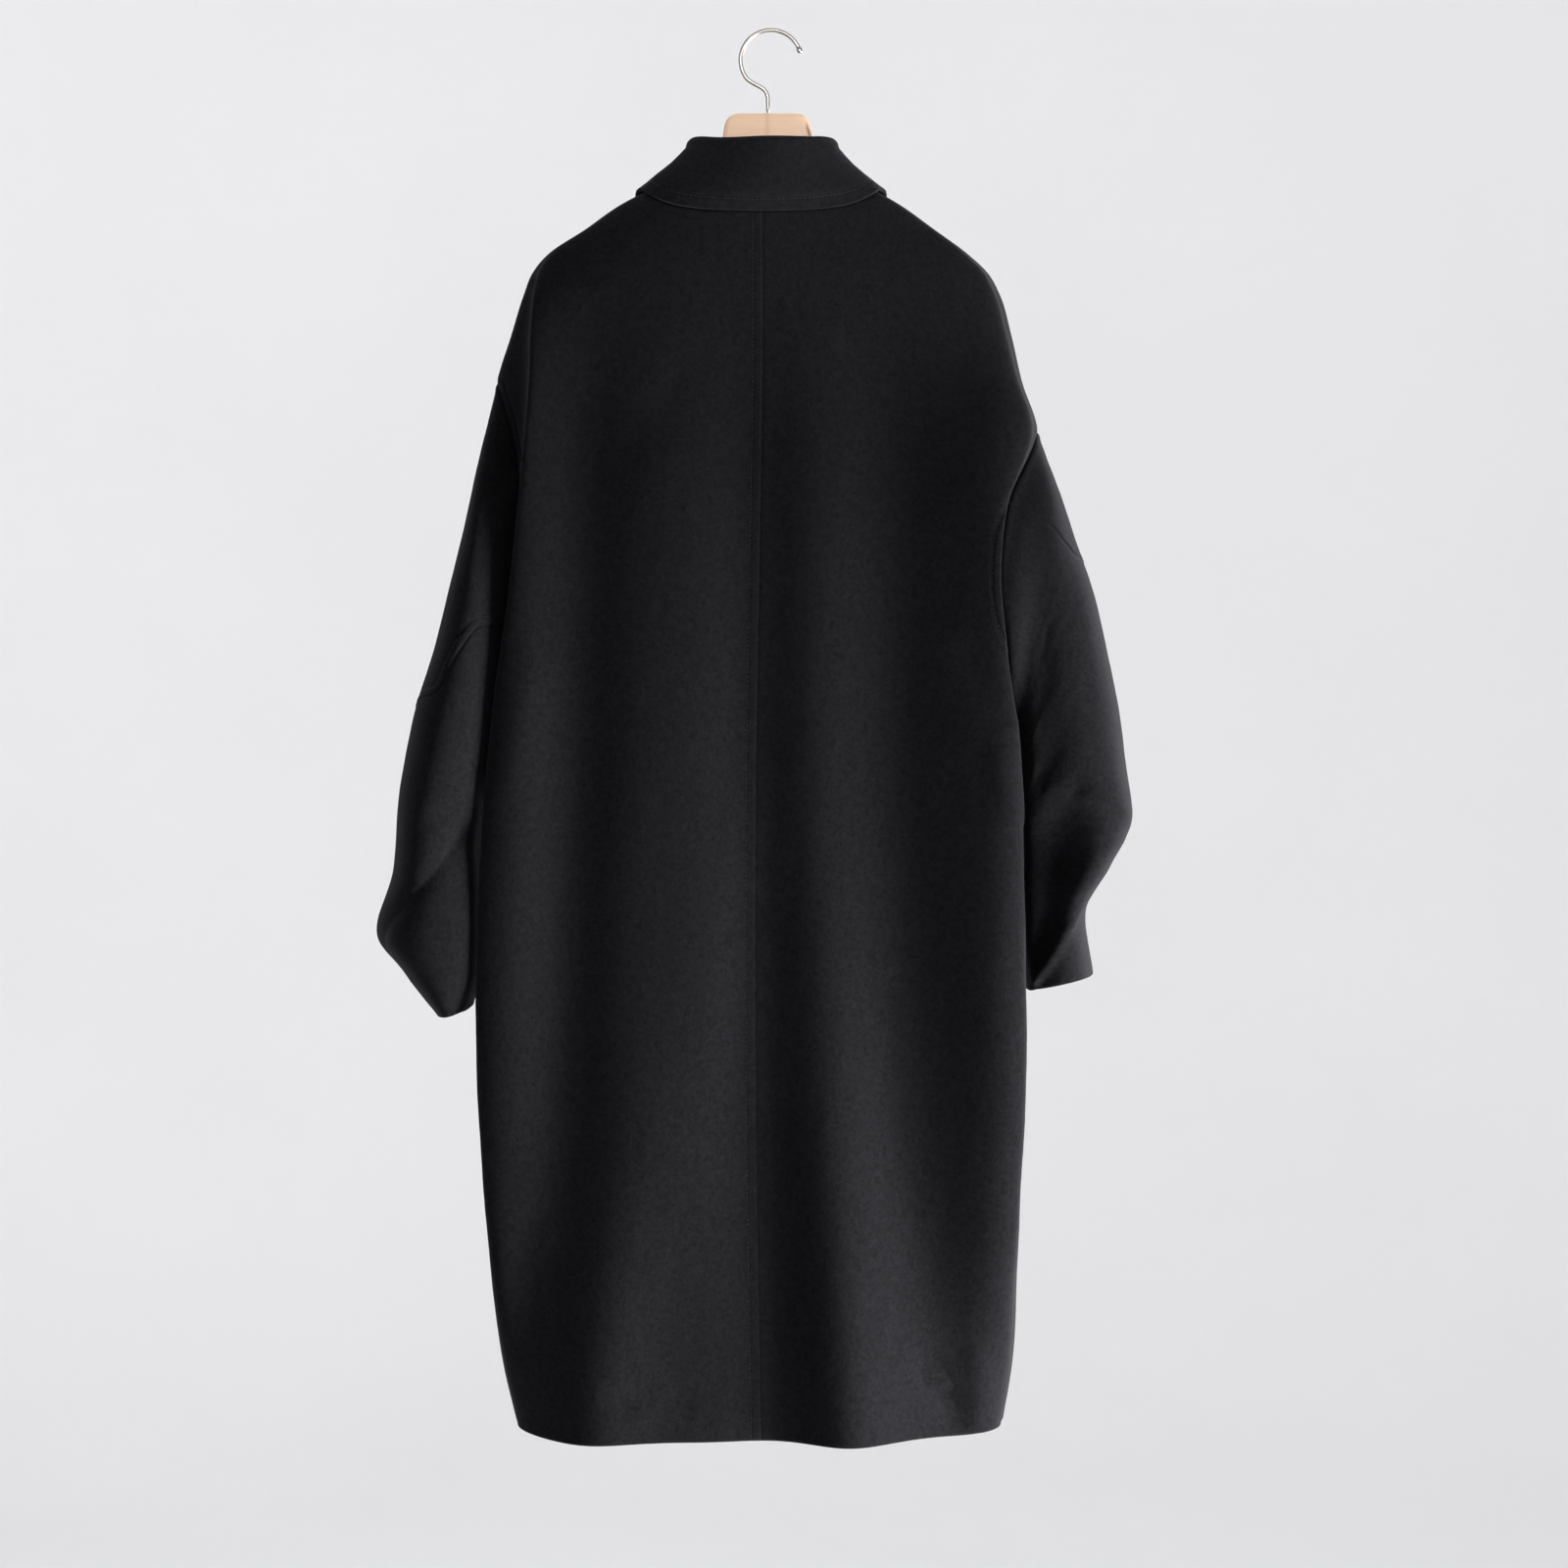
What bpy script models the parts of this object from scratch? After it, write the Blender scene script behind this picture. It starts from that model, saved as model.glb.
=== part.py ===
"""Oversized wool coat hanging on a wooden hanger with a steel hook.

Metres, +Z up. The origin is the inside of the hook's top, where a rail holds it. The coat's back faces -Y
and its front +Y. Distances outward from the middle are positive on both sides, and each side's sign puts them
left (-X, the wearer's left) or right (+X).
"""

import math

import bmesh
import bpy
import numpy as np
from mathutils import Matrix, Vector

# Cloth and seams
CLOTH = 0.0024
COLLAR_CLOTH = 0.0055
SEAM_GAP = 0.0003
INNER_TRIM = 0.0012

# Grid of the cloth pieces
ROWS_SKIRT = 12
ROWS_ARMHOLE = 12
COLUMNS_BACK = 16
COLUMNS_FRONT = 11
SIDE_CROWDING = 0.4
ROWS_SLEEVE = 26
COLUMNS_SLEEVE = 2 * ROWS_ARMHOLE
STATIONS_COLLAR = 32
FINE = 90

# Heights
HEM = -1.278
HEM_CORNER = 0.007
HEM_BAND = 0.090
HEM_DIP = 0.09
NECK_SIDE = -0.132
NECK_BACK = -0.153
NECK_FRONT = -0.208
FLAT_BACK = -0.238
FLAT_FRONT = -0.330

# Front lap
LAP = 0.036
LAP_STEP = CLOTH + 0.0010
LAP_SPARE = 0.006
LAP_FADE = 0.050

# Buttons
BUTTON_HEIGHTS = (-0.335, -0.475, -0.615, -0.755)
BUTTON_RADIUS = 0.0140
BUTTON_REACH = 0.016
BUTTON_THICK = 0.0046
BUTTON_RIM = 0.0022
BUTTON_DISH = 0.0012

# Hanger
HANGER_THICK = 0.0140
HANGER_ROUND = 0.0045
HANGER_CLEAR = 0.0014
HANGER_END = -0.210
HANGER_ARM = 0.034
HUMP_TOP = -0.075
HUMP_HALF = 0.0375
HUMP_CORNER = 0.012
HUMP_SLANT = 0.006
HUMP_FOOT = -0.112

# Hook
WIRE = 0.0042
HOOK_RADIUS = 0.0279
HOOK_SIDE = 0.0032
HOOK_TIP_ANGLE = 14
HOOK_LAST_ANGLE = 222
STEM_X = 0.0005
STEM_BEND = -0.054
STEM_TURN = 0.008
TIP_STEPS = np.array([0.0, 1.5, 4.0, 7.0, 10.0, 12.0])
TIP_WIDTHS = (0.75, 1.15, 1.40, 1.40, 1.15, 1.0)


def table(columns, *rows):
    """A short table as arrays by column name."""
    return dict(zip(columns.split(), np.array(rows, float).T))


# The outline of each side, a row for each section from the hem to the neck: where the back turns the corner,
# the side seam or shoulder ridge, and where the front turns the corner
SIDE_COLUMNS = "z back_x back_y seam_x seam_y front_x front_y"

LEFT_OUTLINE = table(
    SIDE_COLUMNS,
    (-1.278, 0.226, -0.045, 0.231, 0.000, 0.222, 0.045),
    (-1.238, 0.235, -0.045, 0.240, 0.000, 0.230, 0.045),
    (-1.138, 0.247, -0.066, 0.253, 0.000, 0.238, 0.046),
    (-1.048, 0.255, -0.075, 0.260, 0.002, 0.241, 0.047),
    (-0.958, 0.260, -0.078, 0.260, 0.006, 0.237, 0.048),
    (-0.868, 0.261, -0.078, 0.240, 0.012, 0.224, 0.052),
    (-0.743, 0.257, -0.076, 0.222, 0.020, 0.212, 0.056),
    (-0.643, 0.249, -0.073, 0.212, 0.020, 0.205, 0.058),
    (-0.513, 0.232, -0.068, 0.214, 0.015, 0.208, 0.055),
    (-0.423, 0.223, -0.064, 0.225, 0.010, 0.216, 0.046),
    (-0.322, 0.215, -0.057, 0.248, 0.004, 0.238, 0.034),
    (-0.278, 0.214, -0.050, 0.235, 0.002, 0.227, 0.030),
    (-0.240, 0.211, -0.038, 0.223, 0.000, 0.216, 0.026),
    (-0.222, 0.207, -0.028, 0.216, 0.000, 0.209, 0.024),
    (-0.204, 0.195, -0.024, 0.201, 0.000, 0.195, 0.022),
    (-0.182, 0.163, -0.022, 0.168, 0.000, 0.162, 0.022),
    (-0.159, 0.130, -0.022, 0.135, 0.000, 0.129, 0.022),
    (-0.132, 0.076, -0.020, 0.081, 0.000, 0.076, 0.022),
)

RIGHT_OUTLINE = table(
    SIDE_COLUMNS,
    (-1.278, 0.211, -0.045, 0.216, 0.000, 0.206, 0.045),
    (-1.229, 0.219, -0.045, 0.224, 0.000, 0.214, 0.045),
    (-1.138, 0.223, -0.066, 0.229, 0.000, 0.218, 0.046),
    (-1.048, 0.228, -0.075, 0.232, 0.002, 0.219, 0.047),
    (-0.958, 0.232, -0.079, 0.231, 0.006, 0.216, 0.048),
    (-0.868, 0.232, -0.079, 0.214, 0.012, 0.205, 0.052),
    (-0.717, 0.229, -0.075, 0.200, 0.020, 0.193, 0.056),
    (-0.648, 0.227, -0.071, 0.196, 0.020, 0.190, 0.057),
    (-0.566, 0.215, -0.077, 0.203, 0.017, 0.195, 0.055),
    (-0.495, 0.210, -0.076, 0.210, 0.012, 0.200, 0.050),
    (-0.441, 0.216, -0.067, 0.222, 0.008, 0.212, 0.042),
    (-0.367, 0.240, -0.042, 0.248, 0.003, 0.240, 0.030),
    (-0.322, 0.228, -0.030, 0.234, 0.000, 0.227, 0.026),
    (-0.278, 0.218, -0.022, 0.224, 0.000, 0.217, 0.024),
    (-0.240, 0.207, -0.022, 0.213, 0.000, 0.206, 0.022),
    (-0.222, 0.197, -0.022, 0.203, 0.000, 0.196, 0.022),
    (-0.204, 0.178, -0.022, 0.184, 0.000, 0.177, 0.022),
    (-0.182, 0.149, -0.022, 0.154, 0.000, 0.148, 0.022),
    (-0.159, 0.117, -0.022, 0.122, 0.000, 0.116, 0.022),
    (-0.132, 0.068, -0.020, 0.073, 0.000, 0.068, 0.022),
)

# The middle of the back and of the front
MIDDLE_COLUMNS = "z x y"

BACK_MIDDLE = table(
    MIDDLE_COLUMNS,
    (-1.278, -0.005, -0.104),
    (-0.960, -0.010, -0.100),
    (-0.700, -0.010, -0.092),
    (-0.450, -0.006, -0.075),
    (-0.300, -0.004, -0.058),
    (-0.200, -0.004, -0.051),
    (-0.153, -0.004, -0.048),
)

FRONT_MIDDLE = table(
    MIDDLE_COLUMNS,
    (-1.278, -0.005, 0.096),
    (-0.900, -0.005, 0.100),
    (-0.600, -0.005, 0.093),
    (-0.400, -0.004, 0.078),
    (-0.270, -0.004, 0.066),
    (-0.208, -0.004, 0.058),
)

# The hanging folds, a row for each: how far right of the middle each runs and how far it stands out (a trough
# is negative) high up, half way and at the hem, and its half width
FOLD_COLUMNS = "x_high x_mid x_low out_high out_mid out_low width"
FOLD_HEIGHTS = (-0.420, -0.800, -1.278)
FOLD_START = -0.210

BACK_FOLDS = table(
    FOLD_COLUMNS,
    (-0.222, -0.228, -0.222, 0.003, 0.004, 0.000, 0.030),
    (-0.165, -0.178, -0.208, -0.011, -0.015, -0.004, 0.038),
    (-0.086, -0.094, -0.162, 0.000, -0.002, 0.019, 0.048),
    (-0.012, -0.008, 0.004, -0.012, -0.019, -0.010, 0.042),
    (0.052, 0.053, 0.074, 0.000, 0.000, 0.022, 0.044),
    (0.110, 0.116, 0.156, -0.016, -0.022, -0.012, 0.050),
    (0.212, 0.214, 0.205, 0.006, 0.009, 0.000, 0.034),
)

FRONT_FOLDS = table(
    FOLD_COLUMNS,
    (-0.120, -0.130, -0.150, -0.006, -0.012, -0.014, 0.045),
    (-0.070, -0.080, -0.090, 0.003, 0.007, 0.014, 0.045),
    (0.065, 0.075, 0.085, 0.003, 0.007, 0.016, 0.045),
    (0.120, 0.125, 0.140, -0.006, -0.012, -0.014, 0.042),
)

# Sleeve laid flat
SLEEVE_LENGTH = 0.55
SLEEVE_RADIUS = 0.068

# The sleeves, a row for each ring below the armhole: its outer and inner ends, its middle and half depth,
# how far its outer end leans forward, and how square it is beside the body
RING_COLUMNS = "out_x out_z in_x in_z mid_y depth lean square"

LEFT_RINGS = table(
    RING_COLUMNS,
    (0.264, -0.395, 0.238, -0.672, -0.007, 0.066, -0.002, 0.12),
    (0.281, -0.476, 0.249, -0.688, -0.017, 0.073, -0.004, 0.24),
    (0.301, -0.561, 0.256, -0.704, -0.022, 0.078, -0.006, 0.34),
    (0.319, -0.624, 0.259, -0.722, -0.025, 0.080, -0.008, 0.38),
    (0.333, -0.693, 0.261, -0.750, -0.026, 0.081, -0.008, 0.38),
    (0.341, -0.767, 0.261, -0.790, -0.026, 0.081, -0.006, 0.38),
    (0.360, -0.826, 0.262, -0.832, -0.024, 0.080, 0.002, 0.36),
    (0.333, -0.861, 0.264, -0.868, -0.020, 0.079, 0.004, 0.36),
    (0.299, -0.903, 0.272, -0.896, -0.012, 0.078, 0.003, 0.34),
)

RIGHT_RINGS = table(
    RING_COLUMNS,
    (0.262, -0.408, 0.221, -0.672, -0.006, 0.072, -0.002, 0.10),
    (0.281, -0.463, 0.226, -0.688, -0.007, 0.072, -0.004, 0.30),
    (0.301, -0.523, 0.229, -0.702, -0.005, 0.073, -0.005, 0.36),
    (0.318, -0.601, 0.231, -0.718, -0.003, 0.074, -0.005, 0.38),
    (0.328, -0.668, 0.232, -0.746, -0.001, 0.074, -0.005, 0.38),
    (0.332, -0.723, 0.232, -0.776, 0.000, 0.074, -0.004, 0.38),
    (0.317, -0.766, 0.234, -0.810, 0.002, 0.072, -0.003, 0.36),
    (0.293, -0.806, 0.236, -0.846, 0.010, 0.067, -0.003, 0.34),
    (0.300, -0.866, 0.239, -0.880, 0.020, 0.060, -0.004, 0.30),
)

# The slanting seam of each sleeve: its share of the length and its angle round the sleeve from the outer
# edge, towards the back
SEAM_COLUMNS = "share angle"

LEFT_SEAM = table(
    SEAM_COLUMNS,
    (0.00, 120),
    (0.07, 104),
    (0.145, 90),
    (0.28, 69),
    (0.39, 45),
    (0.45, 0),
    (0.70, -80),
    (1.00, -150),
)

RIGHT_SEAM = table(
    SEAM_COLUMNS,
    (0.00, 60),
    (0.13, 48),
    (0.20, 36),
    (0.25, 20),
    (0.28, -5),
    (0.60, -80),
    (1.00, -150),
)

# The breaks of each sleeve, a row for each: both ends as a share of the length and an angle, how far it
# stands out, and its half width
BREAK_COLUMNS = "share_a angle_a share_b angle_b out width"

LEFT_BREAKS = table(
    BREAK_COLUMNS,
    (0.55, 136, 0.79, 32, -0.009, 0.030),
)

RIGHT_BREAKS = table(
    BREAK_COLUMNS,
    (0.37, 140, 0.555, 90, -0.005, 0.020),
    (0.555, 90, 0.66, 20, -0.005, 0.020),
    (0.68, 15, 0.87, 52, 0.008, 0.020),
    (0.87, 52, 0.97, 140, 0.008, 0.020),
    (0.24, 125, 0.34, 130, 0.005, 0.020),
)

# The collar from the middle of the back round to the middle of the front: its roll's height over the neck
# seam and lean outward, the bow of its fall, and the height on the coat where its edge lies, that edge's
# share across and its lift
COLLAR_COLUMNS = "turn rise lean bow edge_z edge_share lift"

COLLAR = table(
    COLLAR_COLUMNS,
    (0.00, 0.0495, 0.004, 0.004, -0.157, 0.00, 0.0075),
    (0.25, 0.0420, -0.005, 0.001, -0.157, 0.48, 0.0080),
    (0.50, 0.0270, -0.013, -0.002, -0.150, 1.00, 0.0075),
    (0.75, 0.0240, -0.008, 0.000, -0.180, 1.48, 0.0100),
    (1.00, 0.0170, 0.002, 0.003, -0.245, 1.74, 0.0080),
)
COLLAR_ROLL = 0.0085
COLLAR_END = 0.985

BACK = dict(
    name="back", out=-1, middle=BACK_MIDDLE, folds=BACK_FOLDS, flat=FLAT_BACK, neck=NECK_BACK, square=2.4
)
FRONT = dict(
    name="front", out=1, middle=FRONT_MIDDLE, folds=FRONT_FOLDS, flat=FLAT_FRONT, neck=NECK_FRONT, square=0.0
)

LEFT = dict(
    sign=-1, outline=LEFT_OUTLINE, shoulder=-0.322, underarm=-0.643, cut_back=0.55, cut_front=0.85,
    rings=LEFT_RINGS, seam=LEFT_SEAM, breaks=LEFT_BREAKS,
)
RIGHT = dict(
    sign=1, outline=RIGHT_OUTLINE, shoulder=-0.367, underarm=-0.648, cut_back=1.00, cut_front=0.90,
    rings=RIGHT_RINGS, seam=RIGHT_SEAM, breaks=RIGHT_BREAKS,
)


def along(heights, values, at):
    """A smooth curve through the values at these heights."""
    at = np.clip(at, heights[0], heights[-1])
    slopes = np.gradient(values, heights)
    i = np.clip(np.searchsorted(heights, at) - 1, 0, len(heights) - 2)
    step = heights[i + 1] - heights[i]
    t = (at - heights[i]) / step
    return (
        values[i] * (1 + 2 * t) * (1 - t) ** 2
        + slopes[i] * step * t * (1 - t) ** 2
        + values[i + 1] * t * t * (3 - 2 * t)
        + slopes[i + 1] * step * t * t * (t - 1)
    )


def spread(points, shares):
    """The points at these shares of a line's length."""
    run = np.concatenate([[0], np.cumsum(np.linalg.norm(np.diff(points, axis=0), axis=1))])
    return np.stack([np.interp(shares * run[-1], run, points[:, k]) for k in range(3)], axis=1)


def ease(t):
    """A step from 0 to 1 with level ends."""
    t = np.clip(t, 0, 1)
    return t * t * (3 - 2 * t)


def fold_out(folds, x, z):
    """How far the hanging folds stand out at these places."""
    heights = np.array(FOLD_HEIGHTS[::-1])
    total = np.zeros_like(x)
    for k in range(len(folds["width"])):
        place = along(heights, np.array([folds[c][k] for c in ("x_low", "x_mid", "x_high")]), z)
        out = along(heights, np.array([folds[c][k] for c in ("out_low", "out_mid", "out_high")]), z)
        total += out * np.exp(-(((x - place) / folds["width"][k]) ** 2))
    return total * ease((FOLD_START - z) / (FOLD_START - FOLD_HEIGHTS[0]))


def armhole_cut(side, face, level):
    """The share of a section's side that the armhole takes away at this height."""
    t = (level - side["underarm"]) / (side["shoulder"] - side["underarm"])
    return side["cut_" + face["name"]] * max(0.0, 4 * t * (1 - t)) ** 0.4


def section(side, face, level, whole=False):
    """One section of a front or back half, from its middle to its side seam, armhole or shoulder ridge."""
    outline, sign = side["outline"], side["sign"]
    corner_x, corner_y, seam_x, seam_y = (
        along(outline["z"], outline[c], level)
        for c in (face["name"] + "_x", face["name"] + "_y", "seam_x", "seam_y")
    )
    share = (face["neck"] - face["flat"]) / (NECK_SIDE - face["flat"])
    middle_z = level if level < face["flat"] else face["flat"] + share * (level - face["flat"])
    middle_x, middle_y = (along(face["middle"]["z"], face["middle"][c], middle_z) for c in ("x", "y"))
    square = face["square"] * ease((level - HEM) / 0.20) * ease((FOLD_START - level) / 0.25)
    power = 2.0 + 0.6 * ease((NECK_SIDE - level) / 0.15) + square
    across = np.sin(np.linspace(0, math.pi / 2, FINE))
    remainder = (1 - across**power).clip(0)
    flat_x = middle_x + (sign * corner_x - middle_x) * across
    flat_y = corner_y + (middle_y - corner_y) * remainder ** (1 / power)
    fold = fold_out(face["folds"], flat_x, level)
    flat_y = flat_y + face["out"] * fold
    corner_y = flat_y[-1]
    cut = 0.0 if whole else armhole_cut(side, face, level)
    t = np.linspace(0, 1 - cut, FINE // 2)[1:]
    outward = seam_x > corner_x + 0.010
    start, end = (2.2, 1.7) if outward else (0.7, 1.3)
    reach = seam_y - corner_y
    turn_x = sign * (corner_x + (seam_x - corner_x) * ease(t))
    turn_y = (
        corner_y + reach * ease(t) + reach * start * t * (1 - t) ** 2 - reach * end * t * t * (1 - t)
    )
    x, y = np.concatenate([flat_x, turn_x]), np.concatenate([flat_y, turn_y])
    rise = np.clip((x - middle_x) / (sign * seam_x - middle_x), 0, 1) ** 2
    near_hem = max(0.0, 1 - (level - HEM) / HEM_BAND)
    corner = HEM_CORNER * rise**5 * near_hem
    corner[:FINE] -= HEM_DIP * fold * near_hem
    return np.stack([x, y, middle_z + (level - middle_z) * rise + corner], axis=1)


def levels(side):
    """The heights of a side's sections, closer where the armhole turns and as listed over the shoulder."""
    turn = (1 - np.cos(np.linspace(0, math.pi, ROWS_ARMHOLE + 1))) / 2
    skirt = np.linspace(HEM, side["underarm"], ROWS_SKIRT + 1)
    armhole = side["underarm"] + (side["shoulder"] - side["underarm"]) * turn
    heights = side["outline"]["z"]
    return np.concatenate([skirt, armhole[1:], heights[heights > side["shoulder"] + 0.001]])


def length(line):
    return np.linalg.norm(np.diff(line, axis=0), axis=1).sum()


def columns(line, whole, count):
    """Points along a section. Those near its side take up what the armhole cuts from it."""
    shares = np.linspace(0, 1, count + 1)
    shares = shares * (1 + SIDE_CROWDING * (1 - shares))
    full, kept = length(whole), length(line)
    return spread(line, (full * shares - (full - kept) * shares**3) / kept)


def back_points(side):
    return np.array(
        [
            columns(section(side, BACK, level), section(side, BACK, level, True), COLUMNS_BACK)
            for level in levels(side)
        ]
    )


def with_lap(side, line, level):
    """A front's section carried past the middle along the other front. The left one passes underneath."""
    other = section(RIGHT if side is LEFT else LEFT, FRONT, level)
    reach = np.linspace(LAP, 0, 9)[:-1]
    away = np.abs(other[:FINE, 0] - other[0, 0])
    lap = np.stack([np.interp(reach, away, other[:FINE, k]) for k in range(3)], axis=1)
    line = np.concatenate([lap, line])
    if side is LEFT:
        past = line[0, 0] - line[:, 0] - 2 * LAP - LAP_SPARE
        line[:, 1] -= LAP_STEP * (1 - ease(past / min(LAP_FADE, 0.8 * past.max())))
    return line


def front_points(side):
    rows = []
    for level in levels(side):
        line = with_lap(side, section(side, FRONT, level), level)
        whole = with_lap(side, section(side, FRONT, level, True), level)
        rows.append(columns(line, whole, COLUMNS_FRONT))
    return np.array(rows)


def armhole_point(side, angle):
    """A point of the armhole: 0 is the shoulder, 90 the back, 180 the underarm."""
    angle = angle % 360
    share = (1 + math.cos(math.radians(angle))) / 2
    level = side["underarm"] + (side["shoulder"] - side["underarm"]) * share
    return section(side, BACK if angle <= 180 else FRONT, level)[-1]


def ring_points(side, angle):
    """The points of one lengthwise line of a sleeve, one on each ring."""
    rings, turn = side["rings"], math.radians(angle)
    near, far = (1 + math.cos(turn)) / 2, (1 - math.cos(turn)) / 2
    x = side["sign"] * (rings["out_x"] * near + rings["in_x"] * far)
    bulge = abs(math.sin(turn)) ** (1 - rings["square"] * (1 - math.cos(turn)))
    y = rings["mid_y"] - rings["depth"] * bulge * np.sign(math.sin(turn)) + rings["lean"] * math.cos(turn)
    z = rings["out_z"] * near + rings["in_z"] * far
    return np.concatenate([[armhole_point(side, angle)], np.stack([x, y, z], axis=1)])


def sleeve_place(share, angle):
    """A place on a sleeve laid flat: along it and round it."""
    return np.array([share * SLEEVE_LENGTH, math.radians(angle) * SLEEVE_RADIUS])


def break_out(breaks, share, angle):
    """How far the sleeve's breaks stand out at a place."""
    place = sleeve_place(share, angle)
    total = 0.0
    for k in range(len(breaks["out"])):
        a = sleeve_place(breaks["share_a"][k], breaks["angle_a"][k])
        b = sleeve_place(breaks["share_b"][k], breaks["angle_b"][k])
        t = np.clip(np.dot(place - a, b - a) / np.dot(b - a, b - a), 0, 1)
        away = np.linalg.norm(place - a - t * (b - a))
        total += breaks["out"][k] * math.exp(-((away / breaks["width"][k]) ** 2))
    return total


def sleeve_points(side):
    """A sleeve, wound round from its slanting seam."""
    stations = np.arange(len(side["rings"]["out_x"]) + 1) / len(side["rings"]["out_x"])
    rows = []
    for share in np.linspace(0, 1, ROWS_SLEEVE + 1):
        first = along(side["seam"]["share"], side["seam"]["angle"], share)
        row = []
        for angle in first - np.linspace(0, 360, COLUMNS_SLEEVE + 1):
            line = ring_points(side, angle)
            place = np.array([along(stations, line[:, k], share) for k in range(3)])
            row.append((place, (angle + 180) % 360 - 180))
        centre = np.mean([place for place, _ in row[:-1]], axis=0)
        moved = []
        for place, angle in row:
            outward = (place - centre) / np.linalg.norm(place - centre)
            moved.append(place + outward * break_out(side["breaks"], share, angle))
        rows.append(moved)
    return np.array(rows)


def coat_point(side, level, share):
    """A point of the coat at this height: share 0 is mid back, 1 the shoulder and 2 mid front."""
    face, part = (BACK, share) if share <= 1 else (FRONT, 2 - share)
    return spread(section(side, face, level), np.array([part]))[0]


def mirrored(values, sign):
    """A column carried on to the other side of its first row."""
    return np.concatenate([sign * values[:0:-1], values])


def coat_skin(side, level, share):
    """A point of the coat and the way out from it."""
    place = coat_point(side, level, share)
    before, after = (coat_point(side, level, np.clip(share + k, 0, 2)) for k in (-0.04, 0.04))
    normal = np.cross((after - before) * side["sign"], place - coat_point(side, level - 0.01, share))
    return place, normal / np.linalg.norm(normal)


def collar_points():
    """The collar: up the stand, over the roll and down the fall, at stations round the neck."""
    rows = []
    for turn in np.linspace(-COLLAR_END, COLLAR_END, STATIONS_COLLAR + 1):
        side = LEFT if turn < 0 else RIGHT
        rise, lean, bow, edge_z, lift = (
            along(mirrored(COLLAR["turn"], -1), mirrored(COLLAR[c], 1), turn)
            for c in ("rise", "lean", "bow", "edge_z", "lift")
        )
        edge_share = along(COLLAR["turn"], COLLAR["edge_share"], abs(turn))
        neck = coat_point(side, NECK_SIDE, 2 * abs(turn))
        ahead = coat_point(side, NECK_SIDE, min(2 * abs(turn) + 0.05, 2))
        behind = coat_point(side, NECK_SIDE, max(2 * abs(turn) - 0.05, 0))
        run = (ahead - behind) * side["sign"]
        outward = np.array([run[1], -run[0], 0]) / math.hypot(run[0], run[1])
        up = np.array([0, 0, 1.0])
        foot = neck + up * (SEAM_GAP + 0.0004)
        roll = neck + up * (rise - COLLAR_ROLL) + outward * lean
        stand = [foot + (roll - outward * COLLAR_ROLL - foot) * t for t in (0, 0.35, 0.7)]
        over = []
        for a in np.linspace(0, math.pi, 7):
            over.append(roll + COLLAR_ROLL * (up * math.sin(a) - outward * math.cos(a)))
        edge, normal = coat_skin(side, edge_z, edge_share)
        drop = edge + normal * lift - over[-1]
        fall = []
        for t in (0.2, 0.4, 0.6, 0.8, 1.0):
            place = over[-1] + drop * t + outward * bow * math.sin(math.pi * t)
            under_share = 2 * abs(turn) + (edge_share - 2 * abs(turn)) * t
            under, normal = coat_skin(side, NECK_SIDE + (edge_z - NECK_SIDE) * t, under_share)
            fall.append(place + normal * max(0.0, lift - np.dot(place - under, normal)))
        rows.append(stand + over + fall)
    return np.array(rows)


def trimmed(points, distance):
    """The same grid with its four edges moved in by a distance along the cloth."""
    points = points.copy()
    for axis in (0, 1):
        grid = np.moveaxis(points, axis, 0)
        for edge, inside in ((0, 1), (-1, -2)):
            step = grid[inside] - grid[edge]
            grid[edge] += step / np.linalg.norm(step, axis=1, keepdims=True) * distance
    return points


def outward_normals(points, facing):
    normals = np.cross(np.gradient(points, axis=1), np.gradient(points, axis=0)) * facing
    return normals / np.linalg.norm(normals, axis=2, keepdims=True)


def finer(points, steps):
    """The same grid with each cell cut into steps both ways."""
    for axis in (0, 1):
        grid = np.moveaxis(points, axis, 0)
        at = np.linspace(0, len(grid) - 1, (len(grid) - 1) * steps + 1)
        i = np.minimum(at.astype(int), len(grid) - 2)
        t = (at - i)[:, None, None]
        points = np.moveaxis(grid[i] * (1 - t) + grid[i + 1] * t, 0, axis)
    return points


def material(name, colour, roughness, metallic=0.0):
    made = bpy.data.materials.new(name)
    made.use_nodes = True
    shader = made.node_tree.nodes["Principled BSDF"]
    shader.inputs["Base Color"].default_value = (*colour, 1)
    shader.inputs["Roughness"].default_value = roughness
    shader.inputs["Metallic"].default_value = metallic
    return made


def add_object(name, data, made_of):
    made = bpy.data.objects.new(name, data)
    data.materials.append(made_of)
    bpy.data.collections["coat_on_hanger"].objects.link(made)
    return made


def cloth_piece(name, points, facing, made_of, thickness=CLOTH):
    """A piece of cloth: a grid laid on the points, extruded inward by its thickness."""
    rows, columns = points.shape[:2]
    outer = trimmed(points, SEAM_GAP / 2)
    inner = trimmed(points - outward_normals(points, facing) * thickness, INNER_TRIM)
    cloth = bmesh.new()
    row = cloth.verts.layers.int.new("row")
    column = cloth.verts.layers.int.new("column")
    bmesh.ops.create_grid(cloth, x_segments=columns - 1, y_segments=rows - 1, size=0.5)
    for vert in cloth.verts:
        vert[column] = round((vert.co.x + 0.5) * (columns - 1))
        vert[row] = round((vert.co.y + 0.5) * (rows - 1))
        vert.co = Vector(outer[vert[row], vert[column]])
    grown = bmesh.ops.extrude_face_region(cloth, geom=cloth.faces[:])
    for vert in grown["geom"]:
        if isinstance(vert, bmesh.types.BMVert):
            vert.co = Vector(inner[vert[row], vert[column]])
    bmesh.ops.recalc_face_normals(cloth, faces=cloth.faces[:])
    mesh = bpy.data.meshes.new(name)
    cloth.to_mesh(mesh)
    cloth.free()
    return add_object(name, mesh, made_of)


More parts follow.
